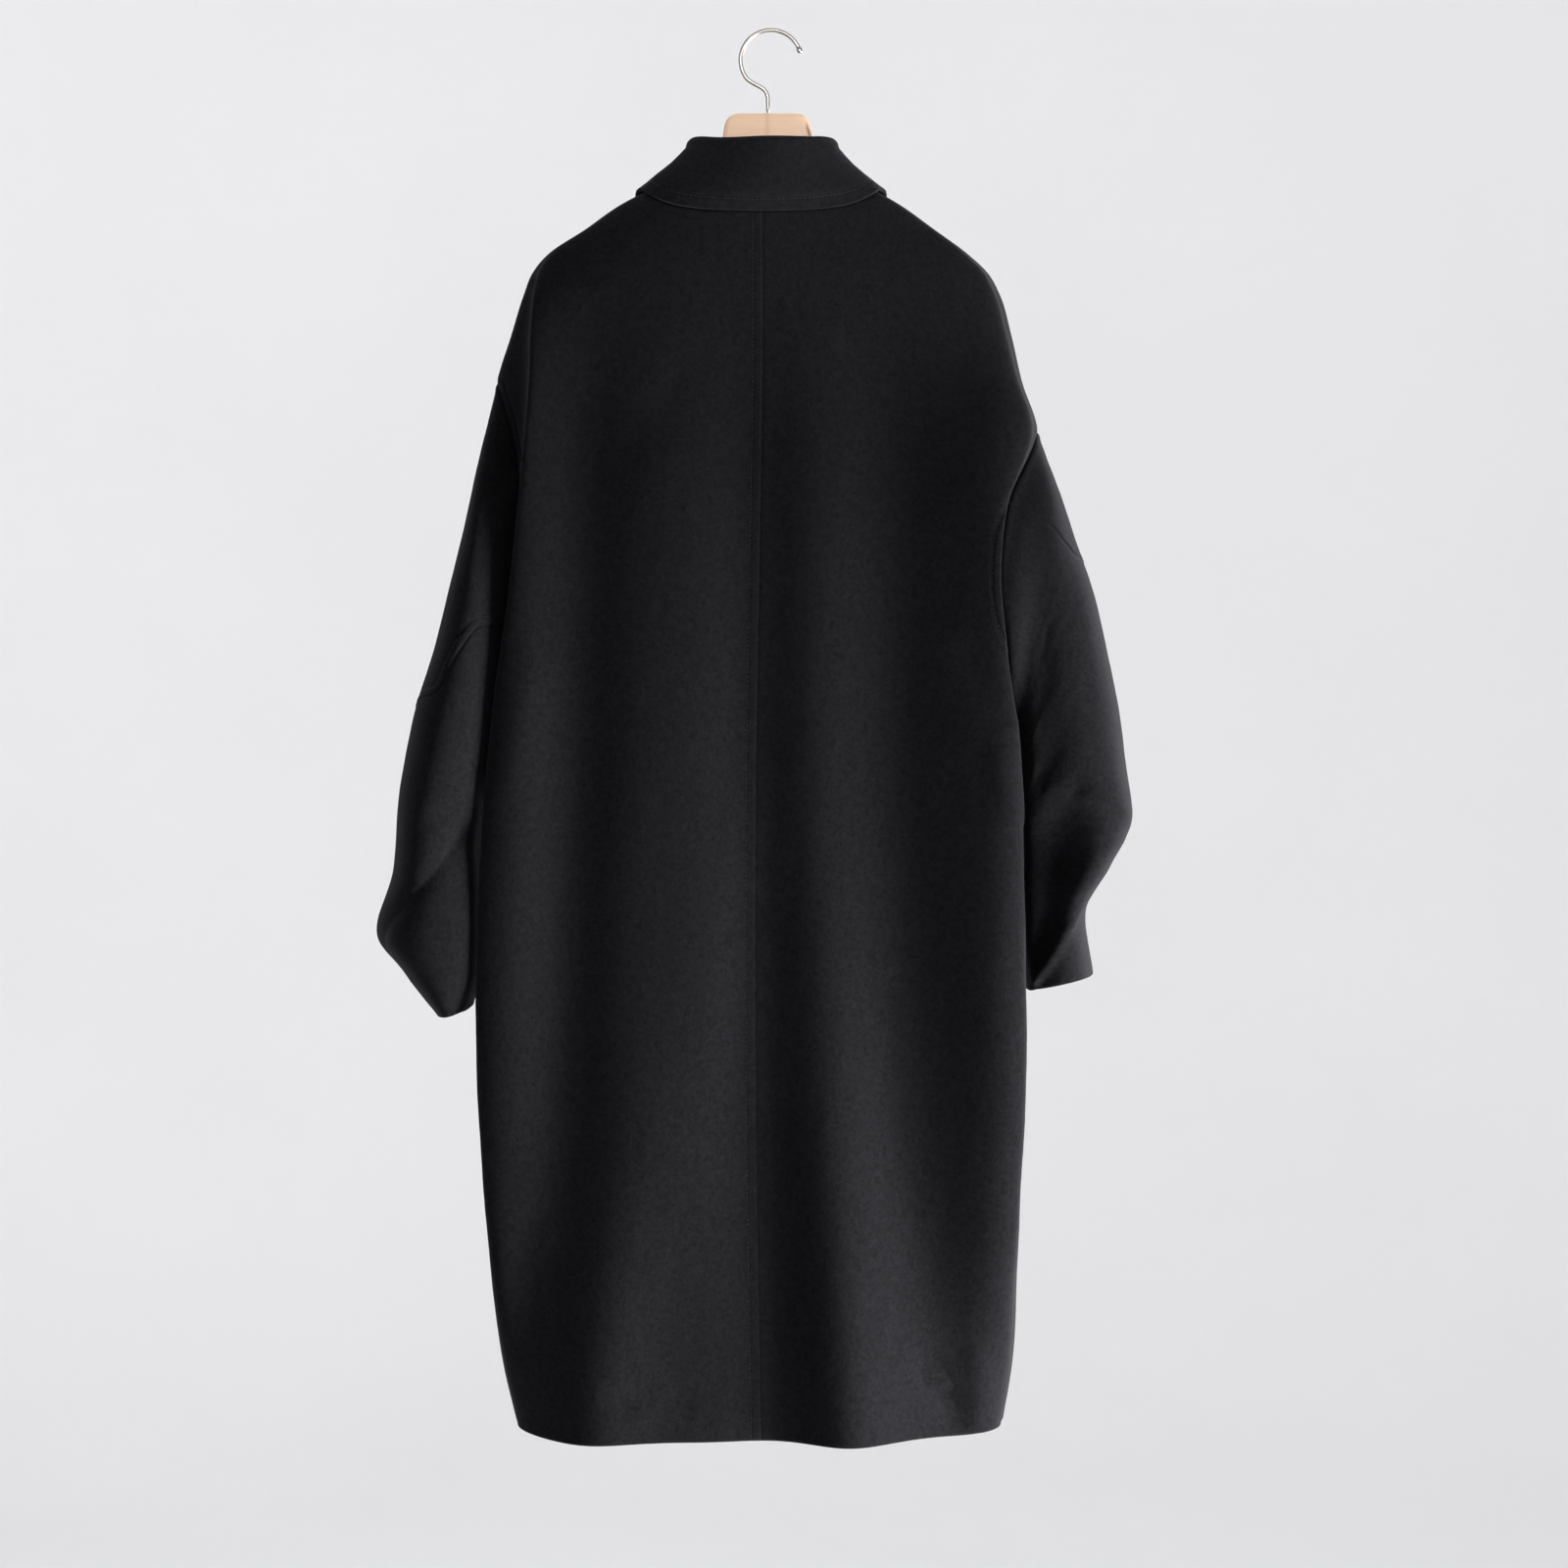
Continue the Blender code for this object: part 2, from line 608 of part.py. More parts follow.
def button(name, height, front, made_of):
    """A round dished button turned on its axis, lying on the right front over the middle line."""
    spot = np.array([along(FRONT_MIDDLE["z"], FRONT_MIDDLE["x"], height), height])
    cloth = finer(front, 8).reshape(-1, 3)
    away = cloth[:, [0, 2]] - spot
    near = np.hypot(away[:, 0], away[:, 1]) < BUTTON_REACH
    plane = np.stack([np.ones(near.sum()), away[near, 0], away[near, 1]], axis=1)
    rise, slope_x, slope_z = np.linalg.lstsq(plane, cloth[near, 1], rcond=None)[0]
    axis = Vector((-slope_x, 1, -slope_z)).normalized()
    clear = (cloth[near, 1] - plane @ (rise, slope_x, slope_z)).max() * axis.y
    seat = Vector((spot[0], rise, spot[1])) + axis * clear
    profile = [
        (0, SEAM_GAP),
        (BUTTON_RADIUS - 0.001, SEAM_GAP),
        (BUTTON_RADIUS, SEAM_GAP + 0.001),
        (BUTTON_RADIUS, BUTTON_THICK - 0.001),
        (BUTTON_RADIUS - 0.001, BUTTON_THICK),
        (BUTTON_RADIUS - BUTTON_RIM, BUTTON_THICK),
        (BUTTON_RADIUS - BUTTON_RIM - 0.001, BUTTON_THICK - BUTTON_DISH),
        (0, BUTTON_THICK - BUTTON_DISH),
    ]
    disc = bmesh.new()
    verts = [disc.verts.new((r, 0, h)) for r, h in profile]
    edges = [disc.edges.new(pair) for pair in zip(verts, verts[1:])]
    bmesh.ops.spin(
        disc, geom=verts + edges, cent=(0, 0, 0), axis=(0, 0, 1), angle=2 * math.pi, steps=24, use_merge=True
    )
    bmesh.ops.remove_doubles(disc, verts=disc.verts[:], dist=1e-6)
    bmesh.ops.recalc_face_normals(disc, faces=disc.faces[:])
    disc.transform(Matrix.Translation(seat) @ axis.to_track_quat("Z", "Y").to_matrix().to_4x4())
    mesh = bpy.data.meshes.new(name)
    disc.to_mesh(mesh)
    disc.free()
    return add_object(name, mesh, made_of)


def ridge_line(side):
    """The hanger's top edge under a shoulder, from its end to the neck."""
    line = []
    for level in levels(side)[levels(side) > HANGER_END]:
        ridge = section(side, BACK, level)[-1]
        above = section(side, BACK, level + 0.004)[-1] - section(side, BACK, level - 0.004)[-1]
        inward = Vector((-above[2], 0, above[0])).normalized() * side["sign"]
        if inward.z > 0:
            inward.negate()
        line.append(Vector((ridge[0], 0, ridge[2])) + inward * (CLOTH + HANGER_CLEAR))
    return line


def rounded(points, radius, steps=5):
    """A closed outline with its corners rounded, one radius for each corner."""
    line = []
    for i, corner in enumerate(points):
        before, after = points[i - 1], points[(i + 1) % len(points)]
        if radius[i] == 0:
            line.append(corner)
            continue
        a = (before - corner).normalized() * radius[i]
        b = (after - corner).normalized() * radius[i]
        for t in np.linspace(0, 1, steps):
            line.append(corner + a * (1 - t) ** 2 + b * t * t)
    return line


def hanger(made_of):
    """A flat wooden hanger: a hump through the neck and two arms under the shoulders."""
    left, right = ridge_line(LEFT), ridge_line(RIGHT)
    corners, radius = [], []

    def add(point, round_off=0.0):
        corners.append(Vector((point[0], 0, point[-1])))
        radius.append(round_off)

    add((left[0].x - 0.004, left[0].z - 0.008), 0.005)
    for point in left:
        add(point)
    add((-HUMP_HALF - HUMP_SLANT, HUMP_FOOT), 0.010)
    add((-HUMP_HALF, HUMP_TOP), HUMP_CORNER)
    add((HUMP_HALF, HUMP_TOP), HUMP_CORNER)
    add((HUMP_HALF + HUMP_SLANT, HUMP_FOOT), 0.010)
    for point in reversed(right):
        add(point)
    add((right[0].x + 0.004, right[0].z - 0.008), 0.005)
    add((right[0].x - 0.006, right[0].z - HANGER_ARM * 0.75), 0.008)
    add((0, NECK_SIDE - HANGER_ARM * 0.75), 0.060)
    add((left[0].x + 0.006, left[0].z - HANGER_ARM * 0.75), 0.008)
    shape = bpy.data.curves.new("hanger_body", "CURVE")
    shape.dimensions = "2D"
    shape.fill_mode = "BOTH"
    shape.extrude = HANGER_THICK / 2 - HANGER_ROUND
    shape.bevel_depth = HANGER_ROUND
    shape.bevel_resolution = 2
    shape.offset = -HANGER_ROUND
    line = shape.splines.new("POLY")
    outline = rounded(corners, radius)
    line.points.add(len(outline) - 1)
    for spot, point in zip(line.points, outline):
        spot.co = (point.x, point.z, 0, 1)
    line.use_cyclic_u = True
    made = add_object("hanger_body", shape, made_of)
    made.rotation_euler = (math.pi / 2, 0, 0)
    return made


def hook(made_of):
    """A bent wire hook with a ball tip, standing on the hump."""
    centre = Vector((HOOK_SIDE, 0, WIRE / 2 - HOOK_RADIUS))
    bow = np.linspace(HOOK_TIP_ANGLE + 16, HOOK_LAST_ANGLE, 26)
    angles = np.radians(np.concatenate([HOOK_TIP_ANGLE + TIP_STEPS, bow]))
    path = [centre + HOOK_RADIUS * Vector((math.cos(a), 0, math.sin(a))) for a in angles]
    bend, foot = Vector((STEM_X, 0, STEM_BEND)), Vector((STEM_X, 0, HUMP_TOP + SEAM_GAP))
    come, go = (path[-1] - bend).normalized() * STEM_TURN, (foot - bend).normalized() * STEM_TURN
    path += [bend + come * (1 - t) ** 2 + go * t * t for t in np.linspace(0, 1, 6)] + [foot]
    widths = np.ones(len(path))
    widths[: len(TIP_WIDTHS)] = TIP_WIDTHS
    shape = bpy.data.curves.new("hanger_hook", "CURVE")
    shape.dimensions = "3D"
    shape.bevel_depth = WIRE / 2
    shape.bevel_resolution = 2
    shape.use_fill_caps = True
    line = shape.splines.new("POLY")
    line.points.add(len(path) - 1)
    for spot, point, width in zip(line.points, path, widths):
        spot.co = (*point, 1)
        spot.radius = width
    return add_object("hanger_hook", shape, made_of)


for old in list(bpy.data.objects):
    bpy.data.objects.remove(old)
bpy.context.scene.collection.children.link(bpy.data.collections.new("coat_on_hanger"))

wool = material("black_wool", (0.012, 0.012, 0.014), 0.95)
horn = material("black_horn", (0.016, 0.014, 0.013), 0.35)
wood = material("pale_wood", (0.72, 0.50, 0.33), 0.55)
steel = material("satin_steel", (0.62, 0.59, 0.56), 0.35, 1.0)

cloth_piece("back_left", back_points(LEFT), -1, wool)
cloth_piece("back_right", back_points(RIGHT), 1, wool)
cloth_piece("front_left", front_points(LEFT), 1, wool)
right_front = front_points(RIGHT)
cloth_piece("front_right", right_front, -1, wool)
cloth_piece("sleeve_left", sleeve_points(LEFT), 1, wool)
cloth_piece("sleeve_right", sleeve_points(RIGHT), -1, wool)
cloth_piece("collar", collar_points(), 1, wool, COLLAR_CLOTH)
for number, height in enumerate(BUTTON_HEIGHTS, 1):
    button(f"button_{number}", height, right_front, horn)
hanger(wood)
hook(steel)
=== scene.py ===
import math

import bpy
import numpy as np
from mathutils import Matrix, Vector
from mathutils.kdtree import KDTree


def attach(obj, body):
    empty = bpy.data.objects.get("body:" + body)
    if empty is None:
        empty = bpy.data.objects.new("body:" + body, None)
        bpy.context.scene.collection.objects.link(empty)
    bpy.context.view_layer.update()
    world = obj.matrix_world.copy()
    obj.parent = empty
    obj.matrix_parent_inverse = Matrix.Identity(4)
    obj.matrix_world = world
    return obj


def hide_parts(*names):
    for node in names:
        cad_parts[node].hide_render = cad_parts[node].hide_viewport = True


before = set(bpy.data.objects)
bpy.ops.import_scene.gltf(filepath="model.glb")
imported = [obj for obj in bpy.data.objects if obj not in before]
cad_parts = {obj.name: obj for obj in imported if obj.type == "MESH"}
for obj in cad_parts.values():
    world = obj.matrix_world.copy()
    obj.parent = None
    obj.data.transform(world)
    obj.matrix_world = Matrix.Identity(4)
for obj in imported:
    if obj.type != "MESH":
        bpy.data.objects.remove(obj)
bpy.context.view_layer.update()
bpy.ops.object.select_all(action="DESELECT")
print("frame loaded,", len(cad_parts), "solids")


# the cut: metres, hook top at the origin, back towards -Y, outward distances positive on both sides

def table(columns, *rows):
    return dict(zip(columns.split(), np.array(rows, float).T))


cut = {
    "hem": -1.278,
    "hemCorner": 0.007,
    "hemBand": 0.090,
    "neckSide": -0.132,
    "lap": 0.036,
    "lapStep": 0.0034,
    "lapSpare": 0.006,
    "lapFade": 0.050,
    "lapPoints": 30,
    "foldHeights": np.array([-1.278, -0.800, -0.420]),
    "foldStart": -0.210,
    "hemDip": 0.09,
    "fine": 150,
    # a level is an ellipse at the neck and boxier below it
    "ellipse": 2.0,
    "boxy": 0.6,
    "boxyReach": 0.15,
    "squareFromHem": 0.20,
    "squareFromYoke": 0.25,
    "armholeCurve": 0.4,
    # bows at both ends of the turn from the back or front to the side seam
    "wideFrom": 0.010,
    "wideTurn": (2.2, 1.7),
    "plainTurn": (0.7, 1.3),
}

sideColumns = "z backX backY seamX seamY frontX frontY"

leftOutline = table(
    sideColumns,
    (-1.278, 0.226, -0.045, 0.231, 0.000, 0.222, 0.045),
    (-1.238, 0.235, -0.045, 0.240, 0.000, 0.230, 0.045),
    (-1.138, 0.247, -0.066, 0.253, 0.000, 0.238, 0.046),
    (-1.048, 0.255, -0.075, 0.260, 0.002, 0.241, 0.047),
    (-0.958, 0.260, -0.078, 0.260, 0.006, 0.237, 0.048),
    (-0.868, 0.261, -0.078, 0.240, 0.012, 0.224, 0.052),
    (-0.743, 0.257, -0.076, 0.222, 0.020, 0.212, 0.056),
    (-0.643, 0.249, -0.073, 0.212, 0.020, 0.205, 0.058),
    (-0.513, 0.232, -0.068, 0.214, 0.015, 0.208, 0.055),
    (-0.423, 0.223, -0.064, 0.225, 0.010, 0.216, 0.046),
    (-0.322, 0.215, -0.057, 0.248, 0.004, 0.238, 0.034),
    (-0.278, 0.214, -0.050, 0.235, 0.002, 0.227, 0.030),
    (-0.240, 0.211, -0.038, 0.223, 0.000, 0.216, 0.026),
    (-0.222, 0.207, -0.028, 0.216, 0.000, 0.209, 0.024),
    (-0.204, 0.195, -0.024, 0.201, 0.000, 0.195, 0.022),
    (-0.182, 0.163, -0.022, 0.168, 0.000, 0.162, 0.022),
    (-0.159, 0.130, -0.022, 0.135, 0.000, 0.129, 0.022),
    (-0.132, 0.076, -0.020, 0.081, 0.000, 0.076, 0.022),
)

rightOutline = table(
    sideColumns,
    (-1.278, 0.211, -0.045, 0.216, 0.000, 0.206, 0.045),
    (-1.229, 0.219, -0.045, 0.224, 0.000, 0.214, 0.045),
    (-1.138, 0.223, -0.066, 0.229, 0.000, 0.218, 0.046),
    (-1.048, 0.228, -0.075, 0.232, 0.002, 0.219, 0.047),
    (-0.958, 0.232, -0.079, 0.231, 0.006, 0.216, 0.048),
    (-0.868, 0.232, -0.079, 0.214, 0.012, 0.205, 0.052),
    (-0.717, 0.229, -0.075, 0.200, 0.020, 0.193, 0.056),
    (-0.648, 0.227, -0.071, 0.196, 0.020, 0.190, 0.057),
    (-0.566, 0.215, -0.077, 0.203, 0.017, 0.195, 0.055),
    (-0.495, 0.210, -0.076, 0.210, 0.012, 0.200, 0.050),
    (-0.441, 0.216, -0.067, 0.222, 0.008, 0.212, 0.042),
    (-0.367, 0.240, -0.042, 0.248, 0.003, 0.240, 0.030),
    (-0.322, 0.228, -0.030, 0.234, 0.000, 0.227, 0.026),
    (-0.278, 0.218, -0.022, 0.224, 0.000, 0.217, 0.024),
    (-0.240, 0.207, -0.022, 0.213, 0.000, 0.206, 0.022),
    (-0.222, 0.197, -0.022, 0.203, 0.000, 0.196, 0.022),
    (-0.204, 0.178, -0.022, 0.184, 0.000, 0.177, 0.022),
    (-0.182, 0.149, -0.022, 0.154, 0.000, 0.148, 0.022),
    (-0.159, 0.117, -0.022, 0.122, 0.000, 0.116, 0.022),
    (-0.132, 0.068, -0.020, 0.073, 0.000, 0.068, 0.022),
)

backMiddle = table(
    "z x y",
    (-1.278, -0.005, -0.104),
    (-0.960, -0.010, -0.100),
    (-0.700, -0.010, -0.092),
    (-0.450, -0.006, -0.075),
    (-0.300, -0.004, -0.058),
    (-0.200, -0.004, -0.051),
    (-0.153, -0.004, -0.048),
)

frontMiddle = table(
    "z x y",
    (-1.278, -0.005, 0.096),
    (-0.900, -0.005, 0.100),
    (-0.600, -0.005, 0.093),
    (-0.400, -0.004, 0.078),
    (-0.270, -0.004, 0.066),
    (-0.208, -0.004, 0.058),
)

foldColumns = "xHigh xMid xLow outHigh outMid outLow width"

backFolds = table(
    foldColumns,
    (-0.222, -0.228, -0.222, 0.003, 0.004, 0.000, 0.030),
    (-0.165, -0.178, -0.208, -0.011, -0.015, -0.004, 0.038),
    (-0.086, -0.094, -0.162, 0.000, -0.002, 0.019, 0.048),
    (-0.012, -0.008, 0.004, -0.012, -0.019, -0.010, 0.042),
    (0.052, 0.053, 0.074, 0.000, 0.000, 0.022, 0.044),
    (0.110, 0.116, 0.156, -0.016, -0.022, -0.012, 0.050),
    (0.212, 0.214, 0.205, 0.006, 0.009, 0.000, 0.034),
)

frontFolds = table(
    foldColumns,
    (-0.120, -0.130, -0.150, -0.006, -0.012, -0.014, 0.045),
    (-0.070, -0.080, -0.090, 0.003, 0.007, 0.014, 0.045),
    (0.065, 0.075, 0.085, 0.003, 0.007, 0.016, 0.045),
    (0.120, 0.125, 0.140, -0.006, -0.012, -0.014, 0.042),
)

ringColumns = "outX outZ inX inZ midY depth lean square"

leftRings = table(
    ringColumns,
    (0.264, -0.395, 0.238, -0.672, -0.007, 0.066, -0.002, 0.12),
    (0.281, -0.476, 0.249, -0.688, -0.017, 0.073, -0.004, 0.24),
    (0.301, -0.561, 0.256, -0.704, -0.022, 0.078, -0.006, 0.34),
    (0.319, -0.624, 0.259, -0.722, -0.025, 0.080, -0.008, 0.38),
    (0.333, -0.693, 0.261, -0.750, -0.026, 0.081, -0.008, 0.38),
    (0.341, -0.767, 0.261, -0.790, -0.026, 0.081, -0.006, 0.38),
    (0.360, -0.826, 0.262, -0.832, -0.024, 0.080, 0.002, 0.36),
    (0.333, -0.861, 0.264, -0.868, -0.020, 0.079, 0.004, 0.36),
    (0.299, -0.903, 0.272, -0.896, -0.012, 0.078, 0.003, 0.34),
)

rightRings = table(
    ringColumns,
    (0.262, -0.408, 0.221, -0.672, -0.006, 0.072, -0.002, 0.10),
    (0.281, -0.463, 0.226, -0.688, -0.007, 0.072, -0.004, 0.30),
    (0.3005, -0.523, 0.229, -0.702, -0.005, 0.073, -0.007, 0.36),
    (0.3175, -0.601, 0.231, -0.718, -0.003, 0.074, -0.008, 0.38),
    (0.3275, -0.668, 0.232, -0.746, -0.001, 0.074, -0.009, 0.38),
    (0.3310, -0.723, 0.232, -0.776, 0.000, 0.074, -0.010, 0.38),
    (0.3110, -0.766, 0.234, -0.810, 0.000, 0.072, -0.011, 0.36),
    (0.2925, -0.806, 0.236, -0.846, 0.010, 0.067, -0.008, 0.34),
    (0.3000, -0.866, 0.239, -0.880, 0.020, 0.060, -0.004, 0.30),
)

leftSeam = table(
    "share angle",
    (0.00, 120),
    (0.07, 104),
    (0.145, 90),
    (0.28, 69),
    (0.39, 45),
    (0.45, 0),
    (0.70, -80),
    (1.00, -150),
)

rightSeam = table(
    "share angle",
    (0.00, 60),
    (0.13, 48),
    (0.20, 36),
    (0.25, 20),
    (0.28, -5),
    (0.60, -80),
    (1.00, -150),
)

back = {
    "name": "back", "out": -1, "middle": backMiddle, "folds": backFolds,
    "flat": -0.238, "neck": -0.153, "square": 2.4, "slack": 1.0,
}
front = {
    "name": "front", "out": 1, "middle": frontMiddle, "folds": frontFolds,
    "flat": -0.330, "neck": -0.208, "square": 0.0, "slack": 4.2,
}
left = {
    "sign": -1, "outline": leftOutline, "shoulder": -0.322, "underarm": -0.643,
    "backCut": 0.55, "frontCut": 0.85, "rings": leftRings, "seam": leftSeam, "slack": 1.6, "welt": 1.0,
}
right = {
    "sign": 1, "outline": rightOutline, "shoulder": -0.367, "underarm": -0.648,
    "backCut": 1.00, "frontCut": 0.90, "rings": rightRings, "seam": rightSeam, "slack": 3.6, "welt": 0.5,
}


def along(heights, values, at):
    # smooth curve through the table's rows
    at = np.clip(np.asarray(at, float), heights[0], heights[-1])
    slopes = np.gradient(values, heights, axis=0)
    i = np.clip(np.searchsorted(heights, at) - 1, 0, len(heights) - 2)
    more = at.shape + (1,) * (values.ndim - 1)
    step = (heights[i + 1] - heights[i]).reshape(more)
    t = (at - heights[i]).reshape(more) / step
    return (
        values[i] * (1 + 2 * t) * (1 - t) ** 2
        + slopes[i] * step * t * (1 - t) ** 2
        + values[i + 1] * t * t * (3 - 2 * t)
        + slopes[i + 1] * step * t * t * (t - 1)
    )


def ease(t):
    t = np.clip(t, 0, 1)
    return t * t * (3 - 2 * t)


def runOf(line):
    return np.concatenate([[0], np.cumsum(np.linalg.norm(np.diff(line, axis=0), axis=1))])


def spread(line, at):
    # points at these distances along a line
    run = runOf(line)
    return np.stack([np.interp(at, run, line[:, k]) for k in range(line.shape[1])], axis=1)


def unit(vectors):
    return vectors / np.maximum(np.linalg.norm(vectors, axis=-1, keepdims=True), 1e-12)


def foldOut(folds, x, z):
    total = np.zeros_like(x)
    for k in range(len(folds["width"])):
        place = along(cut["foldHeights"], np.array([folds[c][k] for c in ("xLow", "xMid", "xHigh")]), z)
        out = along(cut["foldHeights"], np.array([folds[c][k] for c in ("outLow", "outMid", "outHigh")]), z)
        total += out * np.exp(-(((x - place) / folds["width"][k]) ** 2))
    return total * ease((cut["foldStart"] - z) / (cut["foldStart"] - cut["foldHeights"][-1]))


def section(side, face, level):
    # one level of a half front or back, from its middle to the side seam, armhole or shoulder
    outline, sign = side["outline"], side["sign"]
    cornerX, cornerY, seamX, seamY = (
        float(along(outline["z"], outline[c], level))
        for c in (face["name"] + "X", face["name"] + "Y", "seamX", "seamY")
    )
    share = (face["neck"] - face["flat"]) / (cut["neckSide"] - face["flat"])
    middleZ = level if level < face["flat"] else face["flat"] + share * (level - face["flat"])
    middleX, middleY = (float(along(face["middle"]["z"], face["middle"][c], middleZ)) for c in "xy")
    square = face["square"] * ease((level - cut["hem"]) / cut["squareFromHem"])
    square *= ease((cut["foldStart"] - level) / cut["squareFromYoke"])
    power = cut["ellipse"] + cut["boxy"] * ease((cut["neckSide"] - level) / cut["boxyReach"]) + square
    across = np.sin(np.linspace(0, math.pi / 2, cut["fine"]))
    remainder = (1 - across**power).clip(0)
    flatX = middleX + (sign * cornerX - middleX) * across
    flatY = cornerY + (middleY - cornerY) * remainder ** (1 / power)
    fold = foldOut(face["folds"], flatX, level)
    flatY = flatY + face["out"] * fold
    cornerY = flatY[-1]
    t = (level - side["underarm"]) / (side["shoulder"] - side["underarm"])
    gone = side[face["name"] + "Cut"] * max(0.0, 4 * t * (1 - t)) ** cut["armholeCurve"]
    t = np.linspace(0, 1 - gone, cut["fine"] // 2)[1:]
    start, end = cut["wideTurn"] if seamX > cornerX + cut["wideFrom"] else cut["plainTurn"]
    reach = seamY - cornerY
    turnX = sign * (cornerX + (seamX - cornerX) * ease(t))
    turnY = cornerY + reach * (ease(t) + start * t * (1 - t) ** 2 - end * t * t * (1 - t))
    x, y = np.concatenate([flatX, turnX]), np.concatenate([flatY, turnY])
    rise = np.clip((x - middleX) / (sign * seamX - middleX), 0, 1) ** 2
    nearHem = max(0.0, 1 - (level - cut["hem"]) / cut["hemBand"])
    corner = cut["hemCorner"] * rise**5 * nearHem
    corner[: len(fold)] -= cut["hemDip"] * fold * nearHem
    return np.stack([x, y, middleZ + (level - middleZ) * rise + corner], axis=1)


def lapped(side, level):
    # a front's level with its lap over the other front; the left one goes underneath
    line = section(side, front, level)
    other = section(right if side is left else left, front, level)[: cut["fine"]]
    reach = np.linspace(cut["lap"], 0, cut["lapPoints"])[:-1]
    away = np.abs(other[:, 0] - other[0, 0])
    line = np.concatenate([np.stack([np.interp(reach, away, other[:, k]) for k in range(3)], axis=1), line])
    if side is left:
        past = line[0, 0] - line[:, 0] - 2 * cut["lap"] - cut["lapSpare"]
        line[:, 1] -= cut["lapStep"] * (1 - ease(past / min(cut["lapFade"], 0.8 * past.max())))
    return line


# cloth pieces: a fine grid over the cut, closer along its edges, then a wall of its thickness

cloth = {
    "thick": 0.0024,
    "turnUp": 0.042,
    "turnUpStep": 0.002,
    "thinnest": 0.0004,
    "foldRound": 0.95,
    "edgeRound": 0.48,
    # columns beside an edge, in millimetres
    "edge": 0.001 * np.array(
        [0, 0.15, 0.4, 0.8, 1.3, 2, 2.9, 4, 5.2, 6.2, 7, 7.6, 8.2, 8.9, 9.8, 11, 12.6, 15]
    ),
    "across": 62,
    "flank": 22,
    "corner": 0.027,
    "skirtRows": 122,
    "armholeRows": 84,
    "shoulderStep": 0.0045,
    "stitchInset": 0.0082,
    "weltRise": 0.0006,
    "seamDip": 0.0008,
    "seamWidth": 0.0015,
    "stitchDip": 0.0007,
    "allowance": 0.006,
    "nearStep": 0.0008,
}

welt = {
    "rise": 0.0022,
    "fallStart": 0.0026,
    "fall": 0.0034,
    "stitchWidth": 0.0012,
    "pucker": 0.00022,
    "puckerReach": 0.0055,
    "puckerWaves": (0.0031, 0.019, 0.047),
}

# heights of the slack's three waves
slack = {"long": 0.00055, "cross": 0.00022, "small": 0.00009}


def bodyLevels(side):
    turn = np.linspace(0, 1, cloth["armholeRows"])
    turn = 0.3 * turn + 0.35 * (1 - np.cos(math.pi * turn))
    skirt = np.linspace(cut["hem"] + cloth["edge"][-1], side["underarm"], cloth["skirtRows"])
    armhole = side["underarm"] + (side["shoulder"] - side["underarm"]) * turn
    z = np.linspace(side["shoulder"], cut["neckSide"], 500)
    ridge = np.stack([along(side["outline"]["z"], side["outline"]["seamX"], z), z], axis=1)
    count = round(runOf(ridge)[-1] / cloth["shoulderStep"])
    shoulder = spread(ridge, np.linspace(0, runOf(ridge)[-1], count + 1))[:, 1]
    return np.concatenate([cut["hem"] + cloth["edge"][:-1], skirt, armhole[1:], shoulder[1:]])


def bodyColumns(line, corner):
    # the columns keep their places up to the corner, so an armhole moves only the last ones
    run, edge = runOf(line), cloth["edge"]
    turn = run[corner] - cloth["corner"]
    flat = np.linspace(edge[-1], turn, cloth["across"] + 1)[1:]
    flank = np.linspace(turn, run[-1] - edge[-1], cloth["flank"] + 2)[1:-1]
    return np.concatenate([edge, flat, flank, run[-1] - edge[::-1]])


def bodyGrid(side, face):
    rows = []
    for level in bodyLevels(side):
        line = section(side, face, level) if face is back else lapped(side, level)
        corner = cut["fine"] - 1 if face is back else cut["fine"] + cut["lapPoints"] - 2
        rows.append(spread(line, bodyColumns(line, corner)))
    return np.array(rows)


def closerAtEnds(edge, whole, count):
    # places from 0 to the whole, closer along both ends
    return np.concatenate([edge, np.linspace(edge[-1], whole - edge[-1], count)[1:-1], whole - edge[::-1]])


def outwardNormals(grid, facing):
    return unit(np.cross(np.gradient(grid, axis=1), np.gradient(grid, axis=0)) * facing)


def nearness(grid, line):
    # distance of each point from a seam line, and its place along that line
    step = cloth["nearStep"]
    line = spread(line, np.arange(0, runOf(line)[-1], step))
    tangents = unit(np.gradient(line, axis=0))
    tree = KDTree(len(line))
    for i, point in enumerate(line):
        tree.insert(point, i)
    tree.balance()
    flat = grid.reshape(-1, 3)
    nearest = np.array([tree.find(point)[1] for point in flat])
    away = flat - line[nearest]
    slip = (away * tangents[nearest]).sum(axis=1)
    inside = (nearest > 0) & (nearest < len(line) - 1)
    away = away - tangents[nearest] * (slip * inside)[:, None]
    shape = grid.shape[:2]
    return np.linalg.norm(away, axis=1).reshape(shape), (nearest * step + slip).reshape(shape)


def seamDip(d):
    return -cloth["seamDip"] * np.exp(-((d / cloth["seamWidth"]) ** 2))


def topstitched(d, s, inset=cloth["stitchInset"], rise=cloth["weltRise"], dip=cloth["stitchDip"]):
    # a raised welt between a seam and the row of stitches beside it, a little puckered
    short, middle, wide = (s / length for length in welt["puckerWaves"])
    pucker = welt["pucker"] * np.sin(short + 2.1 * np.sin(middle)) * np.sin(wide + 0.6)
    raised = rise * (1 - ease((d - inset + welt["fallStart"]) / welt["fall"])) * ease(d / welt["rise"])
    line = -dip * np.exp(-(((d - inset) / welt["stitchWidth"]) ** 2))
    return raised + line + pucker * np.exp(-(((d - inset) / welt["puckerReach"]) ** 2))


def edgeRound(d, radius):
    t = np.clip(1 - d / radius, 0, 1)
    return radius * (1 - np.sqrt(1 - t * t))


